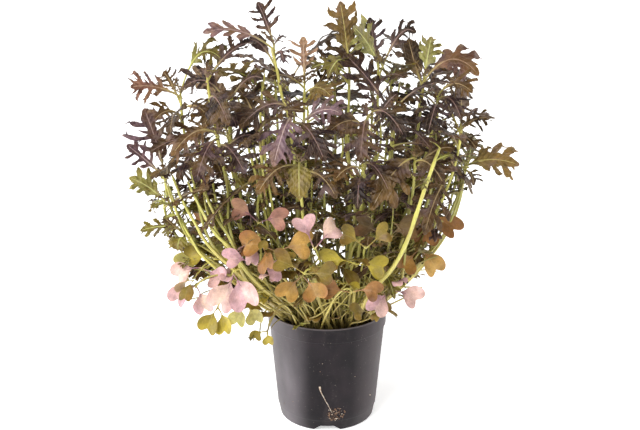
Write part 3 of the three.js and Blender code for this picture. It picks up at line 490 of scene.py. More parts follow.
def grown_shoots():
    """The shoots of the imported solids: each stem's and leaf's try is the one that its solid shows."""
    grown = []
    for row in shoot_rows():
        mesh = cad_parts[row.name].data
        points = np.empty(len(mesh.vertices) * 3)
        mesh.vertices.foreach_get("co", points)
        points = points.reshape(-1, 3) / MM
        if row.twin and not hasattr(row.twin, "stem"):
            continue
        make = sprout_stem if row.sprout else seedling_stem
        for attempt in range(TRIES):
            row.stem = make(row, root_place(row, attempt), head_place(row, attempt), attempt)
            row.rings = stem_rings(row)
            if matched(points, row.rings[-1][:2]):
                break
        else:
            del row.stem
            continue
        count = 2 if row.sprout else len(row.known) + row.more
        for index in range(count):
            place = 1 if row.sprout else index
            stretch = len(row.rings) - 1
            if place:
                stretch = min(range(len(row.stations)),
                              key=lambda k: abs(row.stations[k] - row.tops[place - 1]))
            make = seed_leaf if row.sprout else known_leaf if index < len(row.known) else ruled_leaf
            for attempt in range(TRIES):
                leaf = make(row, index, stretch, attempt)
                if leaf.kind == "heart":
                    centre, side, normal = frames(leaf, HEART_END)
                    raised = HEART_RISE * HEART_SIDE ** 2 * leaf.half + HEART_TOP
                    ends = [centre + side * k * leaf.half * HEART_SIDE + normal * raised for k in (-1, 1)]
                else:
                    ends = [leaf.curve.points[2]]
                if matched(points, ends):
                    leaf.key = row.id * LEAF_KEYS + index
                    row.leaves.append(leaf)
                    break
        grown.append(row)
    return grown


# Colours, as red, green and blue from 0 to 255.
LEAF_COLOURS = {
    "purple": [(14, 7, 9), (48, 28, 33), (96, 68, 36)],
    "bronze": [(36, 22, 12), (82, 55, 27), (124, 92, 36)],
    "olive": [(62, 54, 16), (106, 93, 28), (134, 124, 44)],
    "low": [(94, 78, 26), (138, 122, 46), (124, 90, 42)],
    "pale": [(128, 124, 62), (164, 160, 94), (132, 112, 64)],
    "amber": [(112, 90, 44), (150, 124, 62), (132, 90, 50)],
    "rose": [(120, 90, 66), (162, 126, 98), (176, 146, 96)],
    "mauve": [(74, 52, 60), (118, 92, 102), (132, 100, 88)],
    "plum": [(88, 62, 70), (116, 88, 95), (150, 112, 46)],
    "rust": [(84, 54, 45), (112, 76, 62), (136, 90, 52)],
}
RIB_COLOURS = {
    "purple": (134, 106, 100), "bronze": (160, 136, 94), "olive": (176, 180, 92), "low": (184, 176, 104),
    "pale": (190, 190, 120), "amber": (176, 160, 92), "rose": (190, 156, 128), "mauve": (186, 160, 154),
    "plum": (156, 128, 122), "rust": (156, 124, 96),
}
SEED_COLOURS = {
    "pink": [(198, 160, 158), (212, 184, 164), (184, 138, 156)],
    "amber": [(150, 112, 50), (182, 148, 76), (124, 70, 48)],
    "green": [(138, 122, 38), (172, 156, 60), (106, 90, 30)],
    "khaki": [(100, 84, 30), (130, 112, 46), (108, 76, 38)],
    "brown": [(116, 80, 44), (148, 106, 60), (102, 58, 42)],
    "mauve": [(146, 92, 90), (182, 142, 106), (124, 66, 78)],
    "lime": [(176, 172, 96), (204, 198, 130), (150, 140, 70)],
    "dusk": [(72, 58, 34), (104, 84, 52), (92, 56, 42)],
}
SEED_RIBS = {"pink": (140, 98, 108), "mauve": (108, 68, 80), "amber": (150, 112, 76)}
# What the colours of undersides lean towards.
UNDER_LEAF, UNDER_SEED = (160, 132, 104), (206, 180, 150)
# A stem's colours by height; near the soil they darken, partly a browner stem base and partly painted shade.
STEM_COLOURS = [(88, (92, 78, 50)), (106, (150, 134, 72)), (124, (202, 186, 106)), (190, (184, 180, 92)),
                (260, (198, 192, 98)), (330, (182, 172, 84))]


def linear(colour):
    c = np.array(colour, float) / 255
    return np.where(c <= 0.04045, c / 12.92, ((c + 0.055) / 1.055) ** 2.4)


def stem_tint(heights):
    levels = np.array([z for z, _ in STEM_COLOURS])
    colours = linear([c for _, c in STEM_COLOURS])
    return columns(*(np.interp(heights, levels, colours[:, k]) for k in range(3)))


WHITE = (1, 1, 1)
# A distance so far from the veins that none of their colour shows.
NO_VEIN = 9


def linked(name, data):
    """A new object in the scene."""
    made = bpy.data.objects.new(name, data)
    bpy.context.scene.collection.objects.link(made)
    return made


class Piece:
    """A mesh in the making. Each point has a tint, its distance from a vein and its side of the leaf."""

    def __init__(self):
        self.parts = []
        self.count = 0

    def add(self, points, triangles, slot=0, tint=WHITE, vein=NO_VEIN, under=0, flat=(0, 0, 0)):
        n = len(points)
        self.parts.append((points, triangles + self.count, np.full(len(triangles), slot),
                           np.broadcast_to(tint, (n, 3)), np.broadcast_to(vein, n),
                           np.broadcast_to(under, n), np.broadcast_to(flat, (n, 3))))
        self.count += n

    def build(self, name, materials, sharp=50):
        points, triangles, slots, tint, vein, under, flat = map(np.concatenate, zip(*self.parts))
        mesh = bpy.data.meshes.new(name)
        mesh.vertices.add(len(points))
        mesh.vertices.foreach_set("co", (points * MM).ravel())
        mesh.loops.add(triangles.size)
        mesh.loops.foreach_set("vertex_index", triangles.ravel().astype(np.int32))
        mesh.polygons.add(len(triangles))
        mesh.polygons.foreach_set("loop_start", np.arange(0, triangles.size, 3, dtype=np.int32))
        mesh.polygons.foreach_set("material_index", slots.astype(np.int32))
        mesh.update(calc_edges=True)
        rgba = np.concatenate([tint, np.ones((len(tint), 1))], axis=1)
        mesh.color_attributes.new("tint", "FLOAT_COLOR", "POINT").data.foreach_set("color", rgba.ravel())
        for key, kind, field, values in (("vein", "FLOAT", "value", vein), ("under", "FLOAT", "value", under),
                                         ("flat", "FLOAT_VECTOR", "vector", flat)):
            data = mesh.attributes.new(key, kind, "POINT").data
            data.foreach_set(field, values.astype(np.float32).ravel())
        mesh.validate()
        mesh.shade_smooth()
        mesh.set_sharp_from_angle(angle=math.radians(sharp))
        for material in materials:
            mesh.materials.append(material)
        return linked(name, mesh)


def ring_faces(n, sides, flipped=False):
    """The triangles of a closed body of n rings. The middles of its ends come after the rings' points."""
    k = np.arange(sides)
    after = (k + 1) % sides
    low = (np.arange(n - 1) * sides)[:, None]
    a, b, c, d = low + k, low + sides + k, low + sides + after, low + after
    if flipped:
        b, d, k, after = d, b, after, k
    end = (n - 1) * sides
    return np.concatenate([columns(a, b, c).reshape(-1, 3), columns(a, c, d).reshape(-1, 3),
                           columns(np.full(sides, n * sides), k, after),
                           columns(np.full(sides, n * sides + 1), end + after, end + k)])


def tube(piece, centre, side, normal, radius, slot=0, tint=WHITE, sides=8, flat=1.0):
    """A closed tube about a row of centres."""
    angle = np.arange(sides) / sides * 2 * math.pi
    around = (np.cos(angle)[:, None] * side[:, None] + flat * np.sin(angle)[:, None] * normal[:, None])
    rings = centre[:, None] + around * np.asarray(radius)[:, None, None]
    points = np.concatenate([rings.reshape(-1, 3), centre[[0, -1]]])
    tint = np.asarray(tint)
    if tint.ndim == 2:
        tint = np.concatenate([np.repeat(tint, sides, axis=0), tint[[0, -1]]])
    piece.add(points, ring_faces(len(centre), sides), slot, tint)


def strap(path, widths):
    """The outline of a strip about a path on the flat, with a rounded end."""
    along = unit(np.gradient(path, axis=0))
    aside = columns(along[:, 1], -along[:, 0]) * np.asarray(widths)[:, None]
    w, d = widths[-1], along[-1]
    shoulder = path[-1] + d * w * 0.7
    cap = [shoulder + aside[-1] * 0.6, path[-1] + d * w, shoulder - aside[-1] * 0.6]
    return np.concatenate([path + aside, cap, (path - aside)[::-1]])


def arc(start, end, bend, n):
    """A bent path on the flat."""
    start, end = np.array(start, float), np.array(end, float)
    t = np.linspace(0, 1, n)[:, None]
    middle = (start + end) / 2 + vec(end[1] - start[1], start[0] - end[0]) * bend
    return (1 - t) ** 2 * start + 2 * t * (1 - t) * middle + t * t * end


def tooth(flat, base, along, turn, length, width):
    """A small pointed tooth that leaves a base, turned from a direction."""
    cos, sin = math.cos(turn), math.sin(turn)
    way = vec(along[0] * cos - along[1] * sin, along[0] * sin + along[1] * cos)
    aside = vec(way[1], -way[0]) * width
    bent = base + way * length * 0.55 + along * length * 0.06
    low = base - way * width * 0.5
    tip = base + way * length + along * length * 0.25
    flat.outlines.append(np.array([low + aside, bent + aside * 0.62, tip, bent - aside * 0.62, low - aside]))


def lobe(flat, base, tip, width, key, steps, teeth):
    """A lobe with its teeth and its vein."""
    hand = 1 if tip[0] > 0 else -1
    path = arc(base, tip, hand * span(0.1, 0.24, key, 1), steps)
    share = np.linspace(0, 1, steps)
    profile = np.interp(share, [0, 0.25, 0.5, 0.8, 0.95, 1], [1.05, 0.72, 0.68, 0.86, 0.74, 0.5])
    flat.outlines.append(strap(path, profile * width))
    flat.veins.append(path[:-1])
    length = np.linalg.norm(path[-1] - path[0])
    for k in range(teeth):
        at = mix(0.36, 0.9, (k + 0.6 * draw(key, 2, k)) / max(teeth - 1, 1) * 0.9) * (steps - 1)
        i = min(int(at), steps - 2)
        along = unit(path[i + 1] - path[i])
        side = 1 if (k + int(2 * draw(key, 3))) % 2 else -1
        turn = side * span(0.7, 1.1, key, 4, k)
        reach = width * 0.5 + length * span(0.08, 0.24, key, 5, k)
        tooth(flat, mix(path[i], path[i + 1], at - i), along, turn, reach,
              width * span(0.3, 0.45, key, 6, k))


RIB_SHARES = [-0.42, -0.06, 0.06, 0.3, 0.58, 0.76, 0.86, 0.94, 1]
RIB_WIDTHS = {
    "frill": [0.05, 0.06, 0.12, 0.19, 0.18, 0.2, 0.3, 0.28, 0.19],
    "broad": [0.05, 0.06, 0.22, 0.44, 0.4, 0.32, 0.3, 0.26, 0.17],
    "oval": [0.05, 0.06, 0.38, 0.84, 0.99, 0.84, 0.64, 0.4, 0.1],
}


def lobed_flat(leaf, length):
    """The outlines and veins of a lobed blade on the flat: across, then along from the petiole's end."""
    kind, half, key = KINDS[leaf.kind], leaf.half, leaf.key
    flat = SimpleNamespace(outlines=[], veins=[])
    frill, small = leaf.kind == "frill", leaf.small
    toothed = span(0.2, 1, key, 12)
    steps = 12 if small else 26
    along = np.linspace(-0.42, 1, steps)
    widths = np.interp(along, RIB_SHARES, np.array(RIB_WIDTHS[leaf.kind]) * half)
    edge_wave = 1 + 0.12 * np.sin(along * 51 + 6 * draw(key, 7))
    path = columns(np.zeros(steps), along * length - widths[-1])
    flat.outlines.append(strap(path, np.maximum(widths * edge_wave, 0.45 if small else 0.7)))
    flat.veins.append(path[steps // 3:])
    if kind["lobes"]:
        for i in (0, 2) if small else range(3):
            middle = (BLADE_STATIONS[i] + BLADE_STATIONS[i + 1]) / 2
            for hand in (-1, 1):
                which = 2 * i + (1 if hand > 0 else 0)
                reach = kind["lobes"][i] * half * leaf.uneven[which]
                width = length * (0.066 if frill else 0.1) * span(0.8, 1.2, key, 8, which)
                tip = (hand * (reach - 0.5 * width), (middle + kind["sweep"]) * length)
                lobe(flat, (0, (middle - 0.05) * length), tip, width, key * 8 + which,
                     5 if small else 8, 1 if small else round((5 if frill else 3) * toothed))
    else:
        for k in range(0 if small else 10):
            hand = -1 if k % 2 else 1
            low = mix(0.02, 0.72, k / 9)
            end = (hand * 0.75 * half, (low + 0.2) * length)
            flat.veins.append(arc((0, low * length), end, hand * 0.12, 6))
    teeth = 5 if small else round((14 if frill else 9) * toothed)
    for k in range(teeth):
        hand = -1 if k % 2 else 1
        share = mix(-0.3 if frill else 0.05, 0.94, (k + 0.7 * draw(key, 9, k)) / teeth)
        at = np.interp(share, along, widths)
        reach = half * (span(0.14, 0.42, key, 10, k) if frill else span(0.1, 0.2, key, 10, k))
        if leaf.kind == "oval":
            reach *= 0.5
        reach *= min(1, 0.3 + 1.6 * max(share + 0.2, 0))
        base = vec(hand * at * 0.7, share * length)
        tooth(flat, base, vec(0, 1), -hand * span(0.75, 1.15, key, 11, k), 0.3 * at + reach,
              max(0.5, half * (0.075 if frill else 0.11)))
    return flat


HEART = [(0.07, 0.3), (0.09, 0.36), (0.2, 0.42), (0.5, 0.5), (0.78, 0.59), (0.95, 0.7), (1, 0.81),
         (0.96, 0.91), (0.83, 0.98), (0.62, 1.015), (0.4, 1), (0.22, 0.95), (0.09, 0.89), (0, 0.85)]


def heart_flat(leaf, length):
    """The outline of a seed leaf on the flat: across, then along from the root of its petiole."""
    side = np.array(HEART)
    side = np.concatenate([side, side[-2::-1] * [-1, 1]])
    x, y = side.T
    filled = (0.9 if leaf.small else 0.4) * draw(leaf.key, 95) * np.clip(1 - 2 * np.abs(x), 0, 1) * (y > 0.84)
    narrow = 0.72 if leaf.small else 0.92
    wide = np.where(x > 0, mix(narrow, 1.05, draw(leaf.key, 96)), mix(narrow, 1.05, draw(leaf.key, 97)))
    side = columns(x * wide, mix(y, 1, filled))
    t = np.arange(0, len(side) - 1, 1 if leaf.small else 0.5)
    closed = columns(*(np.interp(t, np.arange(len(side)), side[:, k]) for k in range(2)))
    soft = (np.roll(closed, 1, axis=0) + 2 * closed + np.roll(closed, -1, axis=0)) / 4
    veins = [columns(np.zeros(10), np.linspace(0.32, 0.82, 10) * length)]
    for hand in (-1, 1):
        veins.append(arc((0, 0.42 * length), (hand * 0.6 * leaf.half, 0.86 * length), hand * 0.2, 7))
    return SimpleNamespace(outlines=[soft * [leaf.half, length]], veins=veins)


def vein_distance(points, veins):
    """How far each point on the flat is from the nearest vein."""
    nearest = np.full(len(points), 1e3)
    for path in veins:
        a, b = path[:-1], path[1:]
        way = b - a
        t = ((points[:, None] - a) * way).sum(axis=-1) / (way ** 2).sum(axis=-1)
        foot = a + np.clip(t, 0, 1)[..., None] * way
        nearest = np.minimum(nearest, np.linalg.norm(points[:, None] - foot, axis=-1).min(axis=1))
    return nearest


def rim_edges(triangles):
    """The edges that only one triangle has, in the direction of that triangle."""
    edges = np.concatenate([triangles[:, [0, 1]], triangles[:, [1, 2]], triangles[:, [2, 0]]])
    n = triangles.max() + 1
    return edges[~np.isin(edges[:, 0] * n + edges[:, 1], edges[:, 1] * n + edges[:, 0])]


def inside(points, a, b):
    """Which points are inside the closed edges from a to b."""
    x, y = points[:, :1], points[:, 1:]
    crosses = (a[:, 1] > y) != (b[:, 1] > y)
    rise = np.where(np.abs(b[:, 1] - a[:, 1]) < 1e-12, 1, b[:, 1] - a[:, 1])
    left = x < a[:, 0] + (y - a[:, 1]) / rise * (b[:, 0] - a[:, 0])
    return (crosses & left).sum(axis=1) % 2 == 1


def flat_mesh(points, edges, faces):
    """The corners and triangles of edges and outlines on the flat, and what each triangle lies in."""
    found, _, made, _, _, owners = delaunay_2d_cdt([Vector(p) for p in points], edges, faces, 0, 1e-4, True)
    return np.array(found), np.array(made), owners


def triangulated(flat, spacing):
    """The points and triangles of the union of a blade's outlines."""
    starts = np.cumsum([0] + [len(outline) for outline in flat.outlines])
    faces = [list(range(a, b)) for a, b in zip(starts[:-1], starts[1:])]
    found, made, owners = flat_mesh(np.concatenate(flat.outlines), [], faces)
    rim = rim_edges(made[[len(owner) > 0 for owner in owners]])
    used, rim = np.unique(rim, return_inverse=True)
    rim, corners = rim.reshape(-1, 2), found[used]
    a, b = corners[rim[:, 0]], corners[rim[:, 1]]
    low, high = corners.min(axis=0), corners.max(axis=0)
    nx, ny = np.maximum(((high - low) / spacing).astype(int), 1)
    grid = columns(*np.meshgrid(np.arange(nx), np.arange(ny))).reshape(-1, 2).astype(float)
    grid[:, 0] += 0.5 * (grid[:, 1] % 2)
    extra = np.concatenate([low + (grid + 0.3) * spacing, flat.veins[0]])
    clear = np.linalg.norm(extra[:, None] - corners, axis=-1).min(axis=1) > 0.3 * spacing
    extra = extra[clear & inside(extra, a, b)]
    found, made, _ = flat_mesh(np.concatenate([corners, extra]), [tuple(e) for e in rim.tolist()], [])
    triangles = made[inside(found[made].mean(axis=1), a, b)]
    used, triangles = np.unique(triangles, return_inverse=True)
    return found[used], triangles.reshape(-1, 3)


def sheet(piece, upper, thick, down, triangles, tint, vein, flat, under_tint):
    """A closed thin blade from its upper side."""
    n = len(upper)
    rim = rim_edges(triangles)
    a, b = rim[:, 0], rim[:, 1]
    walls = np.concatenate([columns(a + n, b + n, b), columns(a + n, b, a)])
    points = np.concatenate([upper, upper + down * thick])
    faces = np.concatenate([triangles, triangles[:, ::-1] + n, walls])
    tints = np.concatenate([tint, under_tint])
    piece.add(points, faces, 0, tints, np.tile(vein, 2), np.repeat([0.0, 1.0], n), np.tile(flat, (2, 1)))


FOLDS = {"frill": 0.2, "broad": 0.16, "oval": 0.14}


def blade_height(leaf, u, s, along, vein):
    """How far a blade is raised above the flat: its fold, curled lobes, ruffles and sunken veins."""
    key, half = leaf.key, leaf.half
    across = np.abs(u) / half
    if leaf.kind == "heart":
        height = span(0.1, 0.5, key, 20) * across ** 2 * half
        height += 0.5 * np.sin(9 * s + 6 * draw(key, 21)) * across * (u * swing(key, 22) > 0)
        height -= 0.5 * half * np.clip((s - 0.62) / 0.38, 0, 1) ** 2 * span(-0.5, 1, key, 27)
    else:
        kind = KINDS[leaf.kind]
        height = FOLDS[leaf.kind] * span(0.3, 1.5, key, 20) * np.abs(u) * np.clip(s + 0.1, 0, 1)
        tips = (np.array(BLADE_STATIONS[:3]) + BLADE_STATIONS[1:]) / 2 + kind["sweep"]
        curl = np.where(u > 0, np.interp(s, tips, leaf.curls[0::2]), np.interp(s, tips, leaf.curls[1::2]))
        height += kind["curl"] * curl * np.abs(u) * across
        height -= span(-0.1, 0.3, key, 23) * across ** 2 * half
        ruffle = np.sin(s * span(22, 30, key, 24) + np.where(u > 0, 0, 2) + 6 * draw(key, 25))
        height += 0.1 * half * ruffle * across
        height += 0.5 * np.sin(0.9 * along + 1.3 * u + 6 * draw(key, 26)) * np.minimum(across * 2, 1)
    return height - 0.2 * np.exp(-(vein / 0.5) ** 2)


def blade_tint(leaf, colours, rib, u, s, along, length):
    """A blade's colour at its points."""
    key = leaf.key
    dark, light, tip = linear(colours)
    tint = mix(dark, light, draw(key, 30) ** 1.4)[None] * np.ones((len(u), 1))
    if leaf.kind == "heart":
        edge = np.clip(np.abs(u) / leaf.half * 0.6 + np.clip(s - 0.55, 0, 1) * 0.9, 0, 1)[:, None]
        tint = mix(tint, tip, 0.9 * edge ** 2 * draw(key, 31))
        tint = mix(tint, tip, 0.6 * ((u * swing(key, 36)) > 0)[:, None] * draw(key, 35))
        base = np.exp(-np.clip(along - 0.4 * length, 0, 99) / 5)
    else:
        towards_tip = np.clip((s - 0.55) / 0.45, 0, 1)[:, None] * draw(key, 31)
        tint = mix(tint, tip, 0.7 * towards_tip ** 1.5)
        patch = 0.5 + 0.5 * np.sin(0.35 * along + 6 * draw(key, 32)) * np.sin(0.42 * u + 6 * draw(key, 33))
        tint = mix(tint, mix(dark, tip, draw(key, 34)), 0.3 * patch[:, None])
        base = np.exp(-np.clip(along, 0, 99) / 5)
        # Painted light: leaves on the plant's left are made lighter and those on its right darker, as if lit
        # from the left.
        tint = tint * np.interp(leaf.curve.at(0.5)[0], [-130, -40, 60, 130], [1.12, 0.95, 0.82, 0.88])
    return mix(tint, rib, (0.6 * base)[:, None])


def blade(piece, leaf, colours, rib_colour, spacing=3.0):
    """A leaf's blade, its petiole and its midrib."""
    heart = leaf.kind == "heart"
    start = 0 if heart else KINDS[leaf.kind]["petiole"]
    length = leaf.curve.length() * (1 - start)
    flat = heart_flat(leaf, length) if heart else lobed_flat(leaf, length)
    points, triangles = triangulated(flat, spacing)
    u, along = points.T
    s = along / length
    centre, side, normal = frames(leaf, start + (1 - start) * s)
    vein = vein_distance(points, flat.veins)
    height = blade_height(leaf, u, s, along, vein)
    rib = linear(rib_colour)
    tint = blade_tint(leaf, colours, rib, u, s, along, length)
    pale = mix(tint, linear(UNDER_SEED), 0.3) if heart else mix(tint, linear(UNDER_LEAF), 0.25)
    where = columns(u, along, np.full(len(u), 37 * draw(leaf.key, 37)))
    thick = 0.4 if heart else 0.36
    sheet(piece, centre + side * u[:, None] + normal * height[:, None], thick, -normal, triangles, tint, vein,
          where, pale)
    count = (6 if leaf.small else 12) if heart else (8 if leaf.small else 18)
    steps = np.linspace(-0.03, 0.5 if heart else 0.93, count)
    centre, side, normal = frames(leaf, steps)
    radius = np.interp(steps, [-0.03, 0.1, start + 0.1, 0.6, 1],
                       np.array([1.15, 1, 0.85, 0.5, 0.12]) * leaf.petiole)
    centre = centre - normal * (radius * 0.55 * np.clip((steps - start) / 0.15, 0, 1))[:, None]
    blend = np.clip((steps + 0.03) / (start + 0.15), 0, 1)[:, None]
    tube(piece, centre, side, normal, radius, 1, mix(stem_tint(centre[:, 2]), rib, blend),
         sides=4 if leaf.small else 6, flat=0.85)


def free_leaf(piece, start, azimuth, pitch, length, kind, key, tone, droop=0.3):
    """A small leaf that grows from a place in a direction."""
    way = heading(azimuth, pitch)
    tip = start + way * length
    tip[2] -= droop * length * 0.5
    if not seen_inside(tip):
        return
    control = start + way * length * 0.45
    control[2] += droop * length * 0.5
    leaf = SimpleNamespace(curve=Curve(start, control, tip), azimuth=azimuth, kind=kind, key=key, small=True,
                           roll=0.6 * swing(key, 40), half=length * span(0.22, 0.32, key, 41),
                           petiole=0.52 if length > 18 else 0.45,
                           uneven=[span(0.8, 1.15, key, 42, k) for k in range(6)],
                           curls=[swing(key, 43, k) for k in range(6)])
    if kind == "heart":
        leaf.half = length * span(0.32, 0.44, key, 41)
        leaf.roll = 0
        blade(piece, leaf, SEED_COLOURS[tone], SEED_RIBS.get(tone, SEED_COLOURS[tone][1]), spacing=3.0)
    else:
        blade(piece, leaf, LEAF_COLOURS[tone], RIB_COLOURS[tone], spacing=4.0)


def fine_stem(piece, curve, radii, key, sides=9, rings=30, rooted=True, light=1.0):
    """A smooth stem. A rooted one stands in the soil. A light below 1 darkens its colour as painted shade,
    for stems deep among the others.
    """
    line = SimpleNamespace(curve=curve, roll=0, azimuth=azimuth_of(curve.points[0], curve.points[-1]))
    t = np.linspace(0, 1, rings)
    centre, side, normal = frames(line, t)
    sway = np.sin(t * math.pi) * 0.5
    centre = centre + side * (sway * np.sin(t * 17 + 6 * draw(key, 50)))[:, None]
    radius = mix(radii[0], radii[1], t) * (1 + 0.08 * np.sin(t * 40 + 6 * draw(key, 51)))
    radius = radius * (1 + 0.25 * np.exp(-t * 30))
    radius[-1] *= 0.6
    if rooted:
        foot = centre[:1] - [[0, 0, HOLE_DEPTH]]
        centre = np.concatenate([foot, centre])
        side, normal = [np.concatenate([v[:1], v]) for v in (side, normal)]
        radius = np.concatenate([radius[:1], radius])
    tint = stem_tint(centre[:, 2] + 8 * swing(key, 52)) * span(0.65, 1.08, key, 53) * light
    tube(piece, centre, side, normal, radius, 1, tint, sides=sides, flat=0.92)


def near_root(place, key, spread):
    """A place on the soil near another root."""
    x, y = place[0] + spread * swing(key, 54), place[1] + spread * swing(key, 55)
    radius = math.hypot(x, y)
    share = min(1, ROOT_REACH / radius)
    return vec(x * share, y * share, soil_height(radius * share) + 0.3)


# The room that the stems beside the solids' own keep to, as low and high corners.
ROOM = np.array([(-166, -96, 84), (158, 124, 352)])
# How far the plant reaches at each height as the camera sees it: height, left and right.
REACH = [(60, -108, 52), (85, -110, 62), (100, -135, 68), (128, -137, 84), (157, -131, 96), (172, -165, 103),
         (202, -170, 113), (211, -168, 126), (238, -168, 156), (263, -174, 134), (300, -166, 126),
         (326, -124, 118), (340, -104, 88), (352, -98, 64), (366, -72, 24)]


def seen_inside(place):
    """True if the camera sees a place within the plant's outline."""
    x, _, z = EYE + (place - EYE) * EYE[1] / (EYE[1] - place[1])
    levels, left, right = np.array(REACH).T
    return np.interp(z, levels, left) < x < np.interp(z, levels, right)


# How many stems and small leaves are added, and the share of leaves in another colour.
COMPANIONS, COMPANION_LEAVES, EXTRA_SPROUTS = 2, 10, 2
TOP_LEAVES, SIDE_LEAVES, RECOLOURED = 5, 6, 0.22
# Where the draw keys of each sort of added stem and crumb start.
COMPANION_KEYS, STEM_KEYS, EXTRA_KEYS, FALLEN_KEYS = 1000, 2000, 3000, 6000
CRUMB_KEYS, DEBRIS_KEYS, SPOT_KEYS = 5000, 7000, 7100


def companion(piece, row, key):
    """A thinner stem beside a seedling's own, with small leaves."""
    share = span(0.5, 0.9, key, 70)
    top = row.stem.at(share) + vec(18 * swing(key, 71), 16 * swing(key, 72), 6 * swing(key, 73))
    top = np.clip(top, ROOM[0] + 14, ROOM[1] - 14)
    branch = draw(key, 79) < 0.6
    root = row.stem.at(span(0.08, 0.3, key, 80)) if branch else near_root(row.stem.points[0], key, 6)
    out = top - root
    first = root + out * [0.45, 0.45, 0.3]
    second = top - out * [0.12, 0.12, 0.36]
    curve = Curve(root, first, second, top)
    fine_stem(piece, curve, (1.05, 0.6), key, sides=6, rings=18, rooted=not branch, light=0.75)
    for k in range(COMPANION_LEAVES):
        t = mix(0.42, 1, (k + 0.6 * draw(key, 74, k)) / (COMPANION_LEAVES - 0.4))
        tones = ("low", "olive", "low") if t < 0.75 else (row.tone, "bronze", "purple")
        kinds = ("oval", "broad", "broad", "frill")
        free_leaf(piece, curve.at(t), key + k * GOLDEN_ANGLE, span(-0.4, 0.7, key, 75, k),
                  span(13, 32, key, 76, k), pick(kinds, key, 77, k), key * LEAF_KEYS + k,
                  pick(tones, key, 78, k), droop=0.4)


# Leaves whose colour isn't their seedling's own, by the front seedling's number and the leaf's.
LEAF_TONES = {(1, 1): "plum", (2, 0): "amber", (2, 3): "amber", (3, 0): "pale", (4, 0): "pale",
              (4, 1): "rust", (5, 0): "olive", (5, 1): "rust", (6, 0): "mauve", (6, 1): "mauve",
              (15, 1): "mauve", (15, 3): "mauve", (9, 0): "amber", (7, 0): "pale", (11, 0): "rose",
              (11, 2): "amber", (16, 2): "bronze", (17, 0): "bronze", (18, 0): "low", (20, 3): "purple"}
# Front sprouts whose colour in the photo isn't their slot's.
SPROUT_TONES_SEEN = {6: "lime", 9: "mauve", 14: "brown", 15: "lime", 18: "dusk"}
